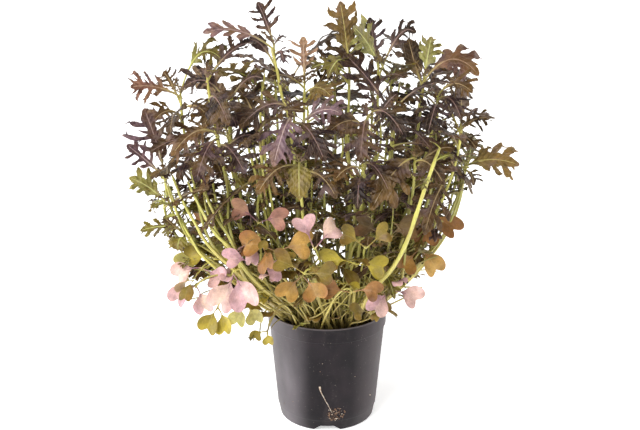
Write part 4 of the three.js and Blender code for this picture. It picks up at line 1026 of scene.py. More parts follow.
# Thin stems in front: the seedling, root, half thickness, number of leaves and places passed, as sighted.
FRONT_STEMS = [
    (7, (-22, -16), 1.5, 4, [(-71, -46, 114), (-107, -46, 146), (-118, -40, 164), (-130, -30, 189),
        (-138, -20, 215)]),
    (14, (-18, -20), 1.6, 2, [(-71, -54, 125), (-102, -58, 156), (-114, -52, 178), (-124, -44, 198),
        (-132, -34, 221)]),
    (13, (-12, -22), 1.5, 2, [(-66, -50, 118), (-92, -56, 147), (-105, -48, 170), (-112, -42, 203),
        (-116, -34, 230)]),
    (19, (-25, -12), 1.6, 2, [(-68, -60, 121), (-80, -66, 153), (-86, -64, 167), (-97, -56, 186),
        (-105, -46, 208), (-109, -36, 234)]),
    (8, (-28, -14), 1.2, 5, [(-77, -40, 125), (-119, -38, 162), (-136, -30, 214)]),
    (15, (-10, -24), 1.5, 2, [(-64, -52, 116), (-79, -62, 153), (-85, -58, 179), (-85, -50, 198),
        (-86, -40, 224)]),
    (15, (-8, -20), 1.4, 2, [(-66, -44, 125), (-83, -48, 161), (-94, -42, 193), (-98, -34, 217)]),
    (13, (-16, -18), 1.8, 1, [(-62, -62, 123), (-82, -68, 152), (-97, -62, 169), (-109, -50, 192),
        (-119, -36, 215)]),
    (12, (-12, -12), 1.5, 1, [(-52, -46, 120), (-58, -50, 153), (-60, -44, 189), (-57, -36, 210),
        (-54, -30, 243)]),
    (19, (-22, -8), 1.3, 1, [(-73, -38, 129), (-91, -42, 162), (-103, -36, 188), (-106, -30, 210)]),
    (14, (-24, -6), 1.3, 3, [(-61, -36, 110), (-101, -36, 142), (-112, -32, 153), (-122, -28, 174),
        (-132, -22, 194)]),
    (7, (-28, -6), 1.2, 4, [(-72, -34, 121), (-90, -34, 142), (-108, -30, 156), (-121, -26, 162)]),
    (20, (24, -24), 1.9, 3, [(34, -52, 106), (57, -74, 136), (69, -84, 161), (77, -88, 186), (83, -87, 208),
        (89, -80, 227), (95, -66, 245)]),
    (9, (30, 2), 1.5, 2, [(42, -20, 104), (73, -26, 130), (92, -24, 157), (104, -22, 183), (113, -18, 208),
        (114, -12, 229)]),
    (10, (28, 8), 1.4, 2, [(40, -8, 102), (69, -14, 123), (88, -16, 148), (100, -14, 175), (107, -10, 203),
        (111, -4, 227)]),
    (9, (34, -4), 1.4, 2, [(47, -26, 106), (77, -32, 136), (99, -32, 164), (110, -28, 190),
        (116, -22, 215)]),
    (17, (24, -22), 1.2, 3, [(60, -46, 116), (67, -52, 135), (69, -52, 177), (70, -44, 205)]),
    (18, (-22, -28), 0.9, 2, [(-9, -38, 96), (0, -40, 108), (14, -36, 126), (30, -30, 152)]),
    (21, (-5, -32), 0.95, 2, [(6, -40, 107), (20, -40, 128), (36, -34, 158)]),
    (21, (4, -30), 0.95, 2, [(16, -38, 104), (34, -38, 126), (58, -34, 150)]),
    (18, (-34, -12), 0.9, 2, [(-44, -36, 112), (-62, -44, 130), (-84, -44, 148)]),
    (18, (-16, -30), 0.8, 1, [(-24, -42, 104), (-23, -52, 98), (-16, -55, 84)]),
    (20, (12, -30), 0.95, 1, [(26, -44, 98), (46, -46, 98), (68, -40, 108)]),
    (20, (20, -20), 0.9, 3, [(40, -44, 120), (59, -46, 119), (84, -44, 118)]),
    (18, (2, -34), 1.25, 0, [(-2, -46, 106), (-4, -54, 118), (-10, -58, 125), (-14, -60, 132),
        (-12, -60, 139), (-7, -56, 146)]),
    (21, (14, -30), 1.3, 1, [(21, -44, 116), (21, -54, 142), (23, -58, 156), (29, -60, 163), (39, -60, 166),
        (49, -58, 163)]),
    (18, (-14, -33), 0.75, 0, [(-20, -44, 85), (-6, -50, 93), (7, -54, 106), (27, -56, 123)]),
    (20, (2, -35), 0.7, 1, [(3, -47, 100), (16, -54, 120), (31, -56, 129), (43, -54, 135)]),
    (21, (10, -33), 0.7, 1, [(5, -46, 91), (14, -52, 105), (24, -56, 115), (40, -54, 122)]),
    (20, (16, -30), 0.7, 0, [(13, -46, 89), (24, -50, 99), (36, -52, 106), (50, -48, 115)]),
    (17, (20, -27), 0.75, 0, [(21, -44, 83), (32, -49, 86), (44, -49, 92), (51, -44, 98)]),
    (15, (-16, -32), 0.7, 0, [(-10, -46, 89), (-15, -52, 100), (-26, -55, 103), (-38, -55, 106)]),
    (13, (-26, -24), 0.8, 1, [(-28, -42, 85), (-35, -49, 99), (-50, -52, 106), (-66, -52, 110)]),
    (18, (-6, -35), 0.65, 1, [(-10, -47, 95), (4, -54, 104), (16, -55, 102), (26, -52, 95)]),
    (7, (-30, -18), 0.8, 1, [(-41, -38, 89), (-52, -44, 97), (-58, -48, 87), (-60, -50, 75)]),
    (1, (-8, -16), 1.8, 0, [(-24, -30, 116), (-24, -38, 172), (-27, -36, 226), (-33, -28, 276),
        (-38, -24, 290), (-42, -18, 313), (-46, -12, 330)]),
    (12, (-14, -20), 1.3, 1, [(-34, -34, 114), (-48, -40, 199), (-55, -34, 259), (-56, -30, 278),
        (-54, -26, 294), (-52, -22, 308)]),
    (13, (-18, -16), 1.3, 1, [(-38, -34, 114), (-56, -42, 199), (-68, -38, 250), (-74, -34, 267),
        (-80, -28, 289)]),
    (14, (-14, -14), 1.3, 1, [(-34, -30, 118), (-52, -36, 199), (-64, -32, 252), (-71, -28, 271),
        (-74, -22, 287)]),
    (18, (-4, -26), 1.4, 1, [(-14, -36, 116), (-17, -44, 171), (-15, -44, 184), (-17, -44, 196),
        (-18, -40, 221), (-19, -36, 243), (-22, -30, 264)]),
    (15, (2, -26), 1.3, 1, [(-4, -36, 116), (-2, -42, 179), (-3, -40, 205), (-5, -36, 230),
        (-9, -30, 254)]),
    (21, (8, -26), 2.0, 0, [(14, -36, 110), (22, -46, 162), (24, -48, 203), (22, -46, 218), (18, -44, 232),
        (15, -38, 256), (12, -30, 279)]),
    (16, (14, -22), 1.3, 1, [(27, -34, 110), (36, -42, 184), (35, -42, 200), (39, -40, 222), (44, -36, 243),
        (45, -32, 257), (42, -26, 279)]),
    (16, (8, -18), 1.3, 1, [(15, -30, 116), (19, -34, 194), (13, -32, 230), (13, -30, 246),
        (11, -24, 269)]),
    (20, (20, -16), 1.3, 1, [(38, -30, 114), (50, -36, 190), (55, -34, 243), (57, -28, 276),
        (60, -22, 301)]),
    (10, (26, -10), 1.5, 1, [(57, -24, 123), (86, -34, 197), (89, -32, 226), (94, -28, 242),
        (94, -22, 266)]),
]


def front_stem(piece, row, key, root, half, leaves, places):
    """A thin stem along places that the camera sees, with small leaves near its end."""
    start = vec(*root, soil_height(math.hypot(*root)) + 0.3)
    path = Path(start, *(sighted(place) for place in places))
    fine_stem(piece, path, (half * 1.1, half * 0.7), key, sides=7, rings=34)
    for k in range(leaves):
        t = mix(0.7, 1, (k + 1) / leaves)
        free_leaf(piece, path.at(t), key + k * GOLDEN_ANGLE, span(-0.2, 0.8, key, 93, k),
                  span(10, 22, key, 94, k), ("frill", "broad")[k % 2], key * LEAF_KEYS + k,
                  "olive" if path.at(t)[2] < 200 else row.tone, droop=0.3)


def seedling_piece(row):
    piece = Piece()
    fine_stem(piece, row.stem, STEM_RADIUS, row.id)
    for leaf in row.leaves:
        leaf.petiole, leaf.small = 0.95, False
        tone = row.tone
        if draw(leaf.key, 60) < RECOLOURED:
            tone = {"purple": "bronze", "bronze": "purple", "olive": "bronze"}[tone]
        tone = LEAF_TONES.get((row.id, leaf.key % LEAF_KEYS), tone)
        blade(piece, leaf, LEAF_COLOURS[tone], RIB_COLOURS[tone])
    top = row.stem.at(1.0)
    for k in range(TOP_LEAVES):
        free_leaf(piece, top.copy(), row.id + k * GOLDEN_ANGLE, span(0.5, 1.2, row.id, 61, k),
                  span(9, 18, row.id, 62, k), "frill", row.id * 100 + k, row.tone, droop=0.2)
    for k in range(SIDE_LEAVES):
        t = mix(0.55, 0.92, (k + draw(row.id, 63, k)) / SIDE_LEAVES)
        free_leaf(piece, row.stem.at(t), row.id * 2 + k * GOLDEN_ANGLE, span(-0.3, 0.7, row.id, 64, k),
                  span(12, 28, row.id, 65, k), "frill", row.id * 100 + 10 + k,
                  "olive" if k % 3 == 0 else row.tone, droop=0.4)
    for k in range(COMPANIONS + (row.id > REAR_ID)):
        companion(piece, row, row.id * 8 + COMPANION_KEYS + k)
    for k, (number, *stem) in enumerate(FRONT_STEMS):
        if number == row.id:
            front_stem(piece, row, row.id * 8 + STEM_KEYS + k, *stem)
    return piece


def extra_sprout(piece, row, key):
    """A thin low stem beside a sprout's own, most with a pair of seed leaves."""
    root = near_root(row.stem.points[0], key, 14)
    swerve = vec(30 * swing(key, 71), 24 * swing(key, 72), span(-30, 8, key, 73))
    top = row.stem.at(span(0.55, 0.95, key, 70)) + swerve
    top = np.clip(top, ROOM[0] + 16, ROOM[1])
    out = top - root
    aside = vec(-out[1], out[0], 0) * 0.35 * swing(key, 80)
    first = root + out * [0.2, 0.2, 0.4] + aside + [0, 0, 22 * draw(key, 74)]
    second = root + out * [0.85, 0.85, 1] + aside + [0, 0, 20 * draw(key, 79)]
    curve = Curve(root, first, second, top)
    fine_stem(piece, curve, (0.8, 0.5), key, sides=6, rings=16, light=0.65)
    if draw(key, 75) < 0.7:
        azimuth = azimuth_of(root, top)
        for hand in (-1, 1):
            free_leaf(piece, top.copy(), azimuth + hand * span(0.5, 1.2, key, 76),
                      span(-0.5, 0.6, key, 77), span(12, 21, key, 78), "heart", key * 4 + hand,
                      row.tone if draw(key, 92) < 0.4 else "khaki", droop=0.4)


def fallen_sprout(piece, key):
    """A thin stem that lies across the pot's mouth, with a small leaf."""
    azimuth = 2 * math.pi * draw(key, 81)
    root = near_root(polar(30, azimuth, 0), key, 8)
    turn = azimuth + span(1.1, 2.4, key, 82) * (1 if draw(key, 83) > 0.5 else -1)
    reach = span(30, 44, key, 84)
    top = polar(reach, turn, span(103, 114, key, 85))
    middle = (root + top) / 2
    first = mix(root, middle, 0.6) * [1, 1, 0] + [0, 0, span(104, 118, key, 86)]
    second = mix(middle, top, 0.4) * [1, 1, 0] + [0, 0, span(106, 120, key, 87)]
    curve = Curve(root, first, second, top)
    fine_stem(piece, curve, (0.75, 0.55), key, sides=6, rings=16, light=0.75)
    for k, t in enumerate((1, 0.75, 0.5)):
        kind = pick(("heart", "oval", "broad"), key, 89, k)
        tones = ("khaki", "brown", "green") if kind == "heart" else ("olive", "rust", "low")
        free_leaf(piece, curve.at(t), turn + k * GOLDEN_ANGLE, span(0.35, 0.8, key, 90, k),
                  span(12, 20, key, 91, k), kind, key * 4 + k, pick(tones, key, 88, k), droop=0.2)


def sprout_piece(rows):
    piece = Piece()
    for row in rows:
        fine_stem(piece, row.stem, SPROUT_RADIUS, row.id, sides=8, rings=26)
        tone = SPROUT_TONES_SEEN.get(row.id - SPROUT_ID + 1, row.tone)
        if row.twin:
            tone = ("brown", "khaki")[row.id % 2]
        for leaf in row.leaves:
            leaf.petiole, leaf.small = 0.62, False
            blade(piece, leaf, SEED_COLOURS[tone], SEED_RIBS.get(tone, SEED_COLOURS[tone][1]), spacing=2.4)
    for k in range(EXTRA_SPROUTS):
        extra_sprout(piece, rows[0], rows[0].id * 8 + EXTRA_KEYS + k)
    fallen_sprout(piece, rows[0].id * 8 + FALLEN_KEYS)
    return piece


class Shade:
    """A material with its nodes."""

    def __init__(self, name):
        self.material = bpy.data.materials.new(name)
        self.material.use_nodes = True
        self.tree = self.material.node_tree
        self.surface = self.tree.nodes["Principled BSDF"]
        self.place = self.add("ShaderNodeTexCoord").outputs["Object"]

    def fill(self, node, values):
        for key, value in values.items():
            if isinstance(value, bpy.types.NodeSocket):
                self.tree.links.new(value, node.inputs[key])
            else:
                node.inputs[key].default_value = value
        return node

    def add(self, kind, values=None, **settings):
        node = self.tree.nodes.new(kind)
        for key, value in settings.items():
            setattr(node, key, value)
        return self.fill(node, values or {})

    def attribute(self, name, output="Fac"):
        return self.add("ShaderNodeAttribute", attribute_name=name).outputs[output]

    def noise(self, scale, detail=4, stretch=(1, 1, 1), rough=0.55):
        place = self.place
        if stretch != (1, 1, 1):
            place = self.add("ShaderNodeMapping", {"Vector": place, "Scale": stretch}).outputs[0]
        return self.add("ShaderNodeTexNoise", {"Vector": place, "Scale": scale, "Detail": detail,
                                               "Roughness": rough}).outputs["Fac"]

    def ramp(self, value, low, high, to_low=0.0, to_high=1.0):
        return self.add("ShaderNodeMapRange", {"Value": value, "From Min": low, "From Max": high,
                                               "To Min": to_low, "To Max": to_high}).outputs[0]

    def maths(self, operation, *values):
        return self.add("ShaderNodeMath", dict(enumerate(values)), operation=operation).outputs[0]

    def times(self, a, b):
        return self.maths("MULTIPLY", a, b)

    def grey(self, value):
        return self.add("ShaderNodeCombineColor", {k: value for k in range(3)}).outputs[0]

    def blend(self, factor, a, b, mode="MIX"):
        node = self.add("ShaderNodeMix", {0: factor}, data_type="RGBA", blend_type=mode)
        for k, colour in ((6, a), (7, b)):
            if isinstance(colour, tuple):
                colour = (*linear(colour), 1)
            self.fill(node, {k: colour})
        return node.outputs[2]

    def bump(self, height, strength, distance, before=None):
        values = {"Height": height, "Strength": strength, "Distance": distance}
        if before:
            values["Normal"] = before
        return self.add("ShaderNodeBump", values).outputs[0]

    def finish(self, colour, roughness, normal, **uniform):
        self.fill(self.surface, {"Base Color": colour, "Roughness": roughness, "Normal": normal})
        self.fill(self.surface, {key.replace("_", " "): value for key, value in uniform.items()})
        return self.material


def leaf_material(name, gloss, glow, mottle, streaks, rib, patches):
    shade = Shade(name)
    tint = shade.attribute("tint", "Color")
    vein = shade.attribute("vein")
    under = shade.attribute("under")
    flat = shade.attribute("flat", "Vector")
    blotch = shade.ramp(shade.noise(110, 4), 0.3, 0.7, 1 - mottle, 1 + 0.8 * mottle)
    fine = shade.ramp(shade.noise(900, 3), 0.3, 0.7, 1 - 0.3 * mottle, 1 + 0.3 * mottle)
    colour = shade.blend(0.9, tint, shade.grey(shade.times(blotch, fine)), "MULTIPLY")
    warm = shade.ramp(shade.noise(42, 3), 0.52, 0.66, 0, patches)
    colour = shade.blend(warm, colour, (122, 94, 40))
    # Mauve-grey patches at random places: partly the leaves' own colour, partly painted sheen that stands in
    # for gloss highlights.
    mauve = shade.ramp(shade.noise(58, 3, (1, 1.3, 0.8)), 0.55, 0.7, 0, 0.8 * patches)
    colour = shade.blend(mauve, colour, (136, 114, 122))
    bright = shade.add("ShaderNodeHueSaturation", {"Saturation": 0.8, "Value": 1.5, "Color": tint}).outputs[0]
    pale = shade.blend(0.36, bright, (170, 146, 122))
    # The pale streaks and pleat lines along the blade are partly lighter vein lines and partly painted fold
    # highlights.
    drawn = shade.add("ShaderNodeMapping", {"Vector": flat, "Scale": (0.75, 0.09, 1.0)}).outputs[0]
    streak = shade.add("ShaderNodeTexNoise", {"Vector": drawn, "Scale": 1.0, "Detail": 3.0}).outputs["Fac"]
    colour = shade.blend(shade.ramp(streak, 0.5, 0.72, 0, streaks), colour, pale)
    place = shade.add("ShaderNodeSeparateXYZ", {"Vector": flat})
    across = shade.maths("ABSOLUTE", place.outputs["X"])
    slant = shade.maths("MULTIPLY_ADD", across, -0.9, place.outputs["Y"])
    bent = shade.maths("MULTIPLY_ADD", streak, 3.0, slant)
    pleat = shade.maths("SINE", shade.times(bent, 1.3))
    colour = shade.blend(shade.ramp(pleat, 0.9, 1, 0, 0.7 * streaks), colour, pale)
    main = shade.times(shade.ramp(vein, 0.1, 0.5, rib, 0), shade.ramp(under, 0, 1, 0.5, 0.8))
    colour = shade.blend(main, colour, pale)
    crease = shade.bump(pleat, 0.8 * streaks, 0.0005)
    ridged = shade.bump(streak, 1.2 * streaks + 0.05, 0.002, crease)
    normal = shade.bump(shade.noise(500, 4), 0.25, 0.0004, ridged)
    rough = shade.ramp(shade.noise(260, 3), 0.3, 0.7, gloss - 0.08, gloss + 0.12)
    return shade.finish(colour, rough, normal, Specular_IOR_Level=0.2, Subsurface_Weight=glow,
                        Subsurface_Radius=(0.0016, 0.0012, 0.0005), Subsurface_Scale=1.0)


def stem_material():
    shade = Shade("stem")
    tint = shade.attribute("tint", "Color")
    streak = shade.ramp(shade.noise(700, 4, (1, 1, 0.06)), 0.3, 0.7, 0.82, 1.15)
    colour = shade.blend(0.9, tint, shade.grey(streak), "MULTIPLY")
    colour = shade.blend(shade.times(shade.ramp(shade.noise(60, 3), 0.52, 0.7), 0.35), colour, (146, 112, 84))
    normal = shade.bump(shade.noise(900, 3, (1, 1, 0.08)), 0.3, 0.0003)
    return shade.finish(colour, shade.ramp(streak, 0.8, 1.15, 0.5, 0.36), normal, Specular_IOR_Level=0.5,
                        Subsurface_Weight=0.2, Subsurface_Radius=(0.002, 0.002, 0.0006),
                        Subsurface_Scale=1.0)


def pot_material():
    shade = Shade("pot_plastic")
    dust = shade.noise(28, 9, (1, 1, 0.8), 0.66)
    smears = shade.noise(75, 6, (1, 1, 0.45), 0.6)
    specks = shade.ramp(shade.noise(800, 2), 0.69, 0.76)
    clouds = shade.ramp(shade.noise(16, 4, (1, 1, 0.5)), 0.3, 0.62, 0.35, 1)
    place = shade.add("ShaderNodeSeparateXYZ", {"Vector": shade.place})
    colour = shade.blend(shade.ramp(dust, 0.45, 0.72, 0, 0.6), (14, 9, 14), (44, 36, 40))
    # Painted highlight: the pot's left side is made lighter in cloudy patches, where the side lamp's
    # reflection falls.
    reach = {"Value": place.outputs["X"], "From Min": -0.012, "From Max": -0.04}
    painted_left_highlight = shade.add("ShaderNodeMapRange", reach, interpolation_type="SMOOTHSTEP").outputs[0]
    colour = shade.blend(shade.times(shade.times(painted_left_highlight, clouds), 0.9), colour, (118, 112, 116))
    # Painted highlight: a weaker lighter band in cloudy patches towards the pot's right edge.
    painted_right_highlight = shade.ramp(place.outputs["X"], 0.022, 0.05, 0, 0.55)
    colour = shade.blend(shade.times(painted_right_highlight, clouds), colour, (104, 94, 96))
    colour = shade.blend(shade.ramp(smears, 0.55, 0.78, 0, 0.3), colour, (74, 66, 66))
    # Painted highlight: a lighter line along the top of the rim's lip.
    colour = shade.blend(shade.ramp(place.outputs["Z"], 0.0996, 0.1008, 0, 0.5), colour, (128, 120, 122))
    colour = shade.blend(shade.times(specks, 0.6), colour, (128, 120, 110))
    grain = shade.bump(shade.noise(2200, 2), 0.18, 0.0002)
    normal = shade.bump(shade.noise(30, 3), 0.12, 0.001, grain)
    return shade.finish(colour, shade.ramp(dust, 0.35, 0.75, 0.42, 0.6), normal, Specular_IOR_Level=0.2)


def soil_material():
    shade = Shade("soil_mix")
    lumps = shade.noise(300, 8, rough=0.7)
    colour = shade.blend(shade.ramp(lumps, 0.35, 0.7), (26, 18, 13), (84, 62, 44))
    colour = shade.blend(shade.ramp(shade.noise(900, 2), 0.68, 0.74), colour, (150, 128, 98))
    normal = shade.bump(lumps, 0.8, 0.0015)
    return shade.finish(colour, shade.ramp(lumps, 0.3, 0.7, 0.95, 0.8), normal, Specular_IOR_Level=0.2)


def peat_material():
    shade = Shade("dry_peat")
    colour = shade.blend(shade.ramp(shade.noise(600, 4), 0.35, 0.65), (64, 44, 34), (132, 104, 82))
    return shade.finish(colour, 0.9, shade.bump(shade.noise(900, 3), 0.5, 0.0005))


def root_material():
    shade = Shade("dry_root")
    colour = shade.blend(shade.ramp(shade.noise(500, 4), 0.35, 0.65), (214, 206, 190), (150, 122, 98))
    return shade.finish(colour, 0.8, shade.bump(shade.noise(900, 3), 0.4, 0.0004))


# The pot's own sizes, as in its solid.
POT_HEIGHT, RIM_RADIUS, BAND_HEIGHT, BAND_STEP, BAND_FLARE = 101, 52.5, 13.5, 0.7, 0.4
TAPER, WALL, LIP, WALL_END_RADIUS, FOOT_HEIGHT = 0.8, 1.3, 1.6, 44.2, 10
FOOT_TOP_RADIUS, FOOT_RADIUS, FOOT_RING, FLOOR_Z = 43.6, 42.2, 4.5, 5.4
BOSS_RADIUS, BOSS_FLARE = 11, 2
NOTCHES, NOTCH_WIDTH, NOTCH_TOP_WIDTH, NOTCH_HEIGHT = 4, 27, 12.5, 4.8
DRAIN_HOLES, DRAIN_RADIUS, DRAIN_CIRCLE = 5, 4, 25
POT_SIDES = 144


def inner_radius(z):
    low = FOOT_TOP_RADIUS - WALL - BAND_STEP
    high = RIM_RADIUS - BAND_STEP - TAPER - WALL
    return mix(low, high, (z - FLOOR_Z) / (POT_HEIGHT - BAND_HEIGHT - FLOOR_Z))


def pot_profile():
    """The pot's line from the axis underneath, up the outside, over the rim and back to the axis."""
    band = POT_HEIGHT - BAND_HEIGHT
    inside = FLOOR_Z + WALL
    ring = FOOT_RADIUS - FOOT_RING
    wall = [(mix(WALL_END_RADIUS, RIM_RADIUS - BAND_STEP - TAPER, t),
             mix(FOOT_HEIGHT + BAND_STEP, band, t)) for t in np.linspace(0, 1, 14)]
    lip = [(RIM_RADIUS - LIP / 2 + LIP / 2 * math.cos(a), POT_HEIGHT - LIP / 2 + LIP / 2 * math.sin(a))
           for a in np.linspace(0, math.pi, 9)]
    return ([(0, 0), (BOSS_RADIUS, 0), (BOSS_RADIUS + BOSS_FLARE, FLOOR_Z), (ring, FLOOR_Z),
             (ring + BAND_STEP, 0), (FOOT_RADIUS - 1.1, 0), (FOOT_RADIUS - 0.5, 0.3), (FOOT_RADIUS - 0.1, 1),
             (FOOT_TOP_RADIUS - 0.1, FOOT_HEIGHT - 0.5), (FOOT_TOP_RADIUS + 0.2, FOOT_HEIGHT)]
            + wall + [(RIM_RADIUS - BAND_FLARE - 0.35, band + 0.1), (RIM_RADIUS - BAND_FLARE, band + 0.5)]
            + lip + [(inner_radius(band), band), (inner_radius(inside + 1.5), inside + 1.5),
                     (inner_radius(inside) - 1.2, inside), (BOSS_RADIUS + BOSS_FLARE - TAPER, inside),
                     (BOSS_RADIUS - TAPER, WALL), (0, WALL)])


def turned(piece, profile, sides):
    """A closed turned body whose profile starts and ends on the axis."""
    profile = np.array(profile, float)
    angle = np.arange(sides) / sides * 2 * math.pi
    radius, heights = profile[1:-1, None, 0], np.repeat(profile[1:-1, 1:], sides, axis=1)
    rings = columns(radius * np.cos(angle), radius * np.sin(angle), heights)
    ends = [[0, 0, profile[0, 1]], [0, 0, profile[-1, 1]]]
    piece.add(np.concatenate([rings.reshape(-1, 3), ends]), ring_faces(len(rings), sides, flipped=True))


def prism(outline, low, high, place):
    """A closed prism: an outline across x and z, drawn out along y, then turned about Z and moved."""
    n = len(outline)
    points = np.array([(x, y, z) for y in (low, high) for x, z in outline], float)
    k = np.arange(n)
    after = (k + 1) % n
    fan = np.arange(1, n - 1)
    zero = np.zeros(n - 2, int)
    faces = np.concatenate([columns(zero, fan, fan + 1), columns(zero + n, fan + n + 1, fan + n),
                            columns(k, k + n, after + n), columns(k, after + n, after)])
    piece = Piece()
    piece.add(place(points), faces)
    return piece.build("cutter", [])


def about_z(points, angle):
    cos, sin = math.cos(angle), math.sin(angle)
    x, y, z = points.T
    return columns(x * cos - y * sin, x * sin + y * cos, z)


def cut(target, cutters):
    """Cuts bodies out of a target and takes them away."""
    for cutter in cutters:
        modifier = target.modifiers.new("cut", "BOOLEAN")
        modifier.operation, modifier.solver, modifier.object = "DIFFERENCE", "EXACT", cutter
    bpy.context.view_layer.update()
    made = bpy.data.meshes.new_from_object(target.evaluated_get(bpy.context.evaluated_depsgraph_get()))
    target.modifiers.clear()
    target.data = made
    for cutter in cutters:
        bpy.data.objects.remove(cutter)


def pot_piece(material):
    piece = Piece()
    turned(piece, pot_profile(), POT_SIDES)
    pot = piece.build("pot_moulding", [material], sharp=35)
    half, top = NOTCH_WIDTH / 2, NOTCH_TOP_WIDTH / 2
    notch = [(-half, -1), (half, -1), (top + 0.8, NOTCH_HEIGHT - 0.8), (top - 0.6, NOTCH_HEIGHT),
             (0.6 - top, NOTCH_HEIGHT), (-top - 0.8, NOTCH_HEIGHT - 0.8)]
    cutters = [prism(notch, -FOOT_RADIUS - 5, 1 - FOOT_RADIUS + FOOT_RING,
                     lambda points, i=i: about_z(points, i / NOTCHES * 2 * math.pi))
               for i in range(NOTCHES)]
    round_hole = [polar(DRAIN_RADIUS, a, 0)[:2] for a in np.linspace(0, 2 * math.pi, 25)[:-1]]
    for i in range(DRAIN_HOLES):
        angle = (i + 0.5) / DRAIN_HOLES * 2 * math.pi
        place = polar(DRAIN_CIRCLE, angle, FLOOR_Z)
        cutters.append(prism(round_hole, -5, 5, lambda points, place=place: points[:, [0, 2, 1]] + place))
    cut(pot, cutters)
    pot.data.shade_smooth()
    pot.data.set_sharp_from_angle(angle=math.radians(35))
    return pot


def crumb(piece, place, size, key, slot=0):
    """A small lump with uneven corners."""
    corners = np.array([(0, 0, 1), (0.9, 0, 0.3), (0.25, 0.85, 0.35), (-0.75, 0.5, 0.3), (-0.7, -0.55, 0.35),
                        (0.3, -0.85, 0.3), (0, 0, -0.8)])
    rough = np.array([span(0.6, 1.3, key, 70 + k) for k in range(7)])[:, None]
    k = np.arange(5)
    after = (k + 1) % 5
    faces = np.concatenate([columns(k * 0, k + 1, after + 1), columns(k * 0 + 6, after + 1, k + 1)])
    points = about_z(corners * rough * size, 6 * draw(key, 78)) * [1, 1, span(0.6, 1, key, 79)]
    piece.add(points + place, faces, slot)


# The soil's gap to the pot, the sides of its body, and how many crumbs lie on soil and pot.
SOIL_GAP, SOIL_SIDES, SOIL_CRUMBS, DEBRIS_CRUMBS = 0.35, 96, 900, 130


def soil_piece(material):
    """The soil's body with a lumpy top and loose crumbs on it."""
    bottom = FLOOR_Z + WALL + SOIL_GAP
    edge_z = SOIL_Z - 1.6 * SOIL_DOME
    edge = inner_radius(edge_z - SOIL_BUMP) - SOIL_GAP
    top = [(edge * t, soil_height(edge * t)) for t in np.linspace(1, 0, 26)]
    profile = [(0, WALL + SOIL_GAP), (BOSS_RADIUS - TAPER - SOIL_GAP, WALL + SOIL_GAP),
               (BOSS_RADIUS + BOSS_FLARE - TAPER, bottom), (inner_radius(bottom) - SOIL_GAP, bottom),
               (inner_radius(edge_z - 1) - SOIL_GAP, edge_z - 1)] + top
    piece = Piece()
    turned(piece, profile, SOIL_SIDES)
    points = piece.parts[0][0]
    high = points[:, 2] > edge_z - 0.5
    x, y = points[high, 0], points[high, 1]
    lumps = (np.sin(0.9 * x + 2) * np.sin(0.8 * y) + 0.6 * np.sin(1.9 * x + y) * np.sin(2.1 * y - 0.7 * x)
             + 0.4 * np.sin(3.7 * x - y) * np.sin(3.3 * y + 1.2 * x))
    points[high, 2] += 0.6 * lumps * np.clip((edge - np.hypot(x, y)) / 3, 0.2, 1)
    for k in range(SOIL_CRUMBS):
        radius = (edge - 1.5) * math.sqrt(draw(k, 80))
        angle = 2 * math.pi * draw(k, 81)
        place = polar(radius, angle, soil_height(radius) + 0.2)
        crumb(piece, place, mix(0.4, 1.7, draw(k, 82) ** 2), k + CRUMB_KEYS)
    return piece.build("soil_mix", [material], sharp=40)


def pot_outside(x, z, out):
    """A place a little out from the pot's front, at a distance across and a height."""
    share = (z - FOOT_HEIGHT) / (POT_HEIGHT - BAND_HEIGHT - FOOT_HEIGHT)
    radius = mix(WALL_END_RADIUS, RIM_RADIUS - BAND_STEP - TAPER, share) + out
    return vec(x, -math.sqrt(radius ** 2 - x ** 2), z)


# A dried root on the pot's front: places across and up, and the root's half thickness.
ROOT_PATH = [(-6.4, 45.5, 0.9), (-6.2, 43, 0.8), (-5.6, 40.5, 0.4), (-4.4, 37.5, 0.3), (-2.6, 34, 0.28),
             (-1.2, 30.5, 0.25), (0.8, 27, 0.24), (2.6, 22.5, 0.22), (4.2, 19, 0.18)]
# Single crumbs on the pot's front, across and up.
SPOTS = [(38, 26), (-30, 24), (-4, 68), (-26, 82), (24, 52), (-6, 60), (3, 88), (-38, 17)]


def debris_piece(root, soil):
    """The dried root and crumbs that stick to the pot's front."""
    piece = Piece()
    path = np.array(ROOT_PATH)
    steps = np.linspace(0, len(path) - 1, 40)
    x, z, thick = [np.interp(steps, np.arange(len(path)), path[:, k]) for k in range(3)]
    x, z = [np.convolve(np.pad(v, 2, mode="edge"), np.ones(5) / 5, mode="valid") for v in (x, z)]
    centre = np.array([pot_outside(a, b, 0.15) for a, b in zip(x, z)])
    along = unit(np.gradient(centre, axis=0))
    side = unit(np.cross(along, [0, -1, 0]))
    tube(piece, centre, side, np.cross(side, along), thick, sides=6)
    for k in range(DEBRIS_CRUMBS):
        spread = 8.5 * draw(k, 90) ** 0.7
        angle = 2 * math.pi * draw(k, 91)
        place = pot_outside(7.5 + spread * math.cos(angle), 17.5 + 0.8 * spread * math.sin(angle), 0.1)
        crumb(piece, place, mix(0.3, 1.5, draw(k, 92) ** 2), k + DEBRIS_KEYS, slot=k % 6 > 0)
    for k, (x, z) in enumerate(SPOTS):
        crumb(piece, pot_outside(x, z, 0.1), 0.9 if k == 0 else 0.55, k + SPOT_KEYS, slot=k % 2)
    return piece.build("pot_debris", [root, soil], sharp=40)


def facing(way):
    return Vector(way).to_track_quat("-Z", "Y").to_euler()


def area_light(name, place, target, size, power):
    light = bpy.data.lights.new(name, "AREA")
    light.shape, light.size, light.energy = "DISK", size, power
    made = linked(name, light)
    made.location = place
    made.rotation_euler = facing(Vector(target) - Vector(place))


# In metres: the height of the ground that the pot stands on, its reach, and its rim's reach and height.
FLOOR, FLOOR_REACH, RIM_REACH, RIM_HEIGHT, FLOOR_SIDES = -0.0004, 18, 24, 9, 48
# The camera's sensor and lens in millimetres, and its tilt down in degrees.
SENSOR_WIDTH, LENS, TILT = 36, 61.9, 18.3
SUN_POWER, SUN_SPREAD, SUN_WAY, SKY = 2.8, 30, (0.48, 0.66, -0.82), 0.42


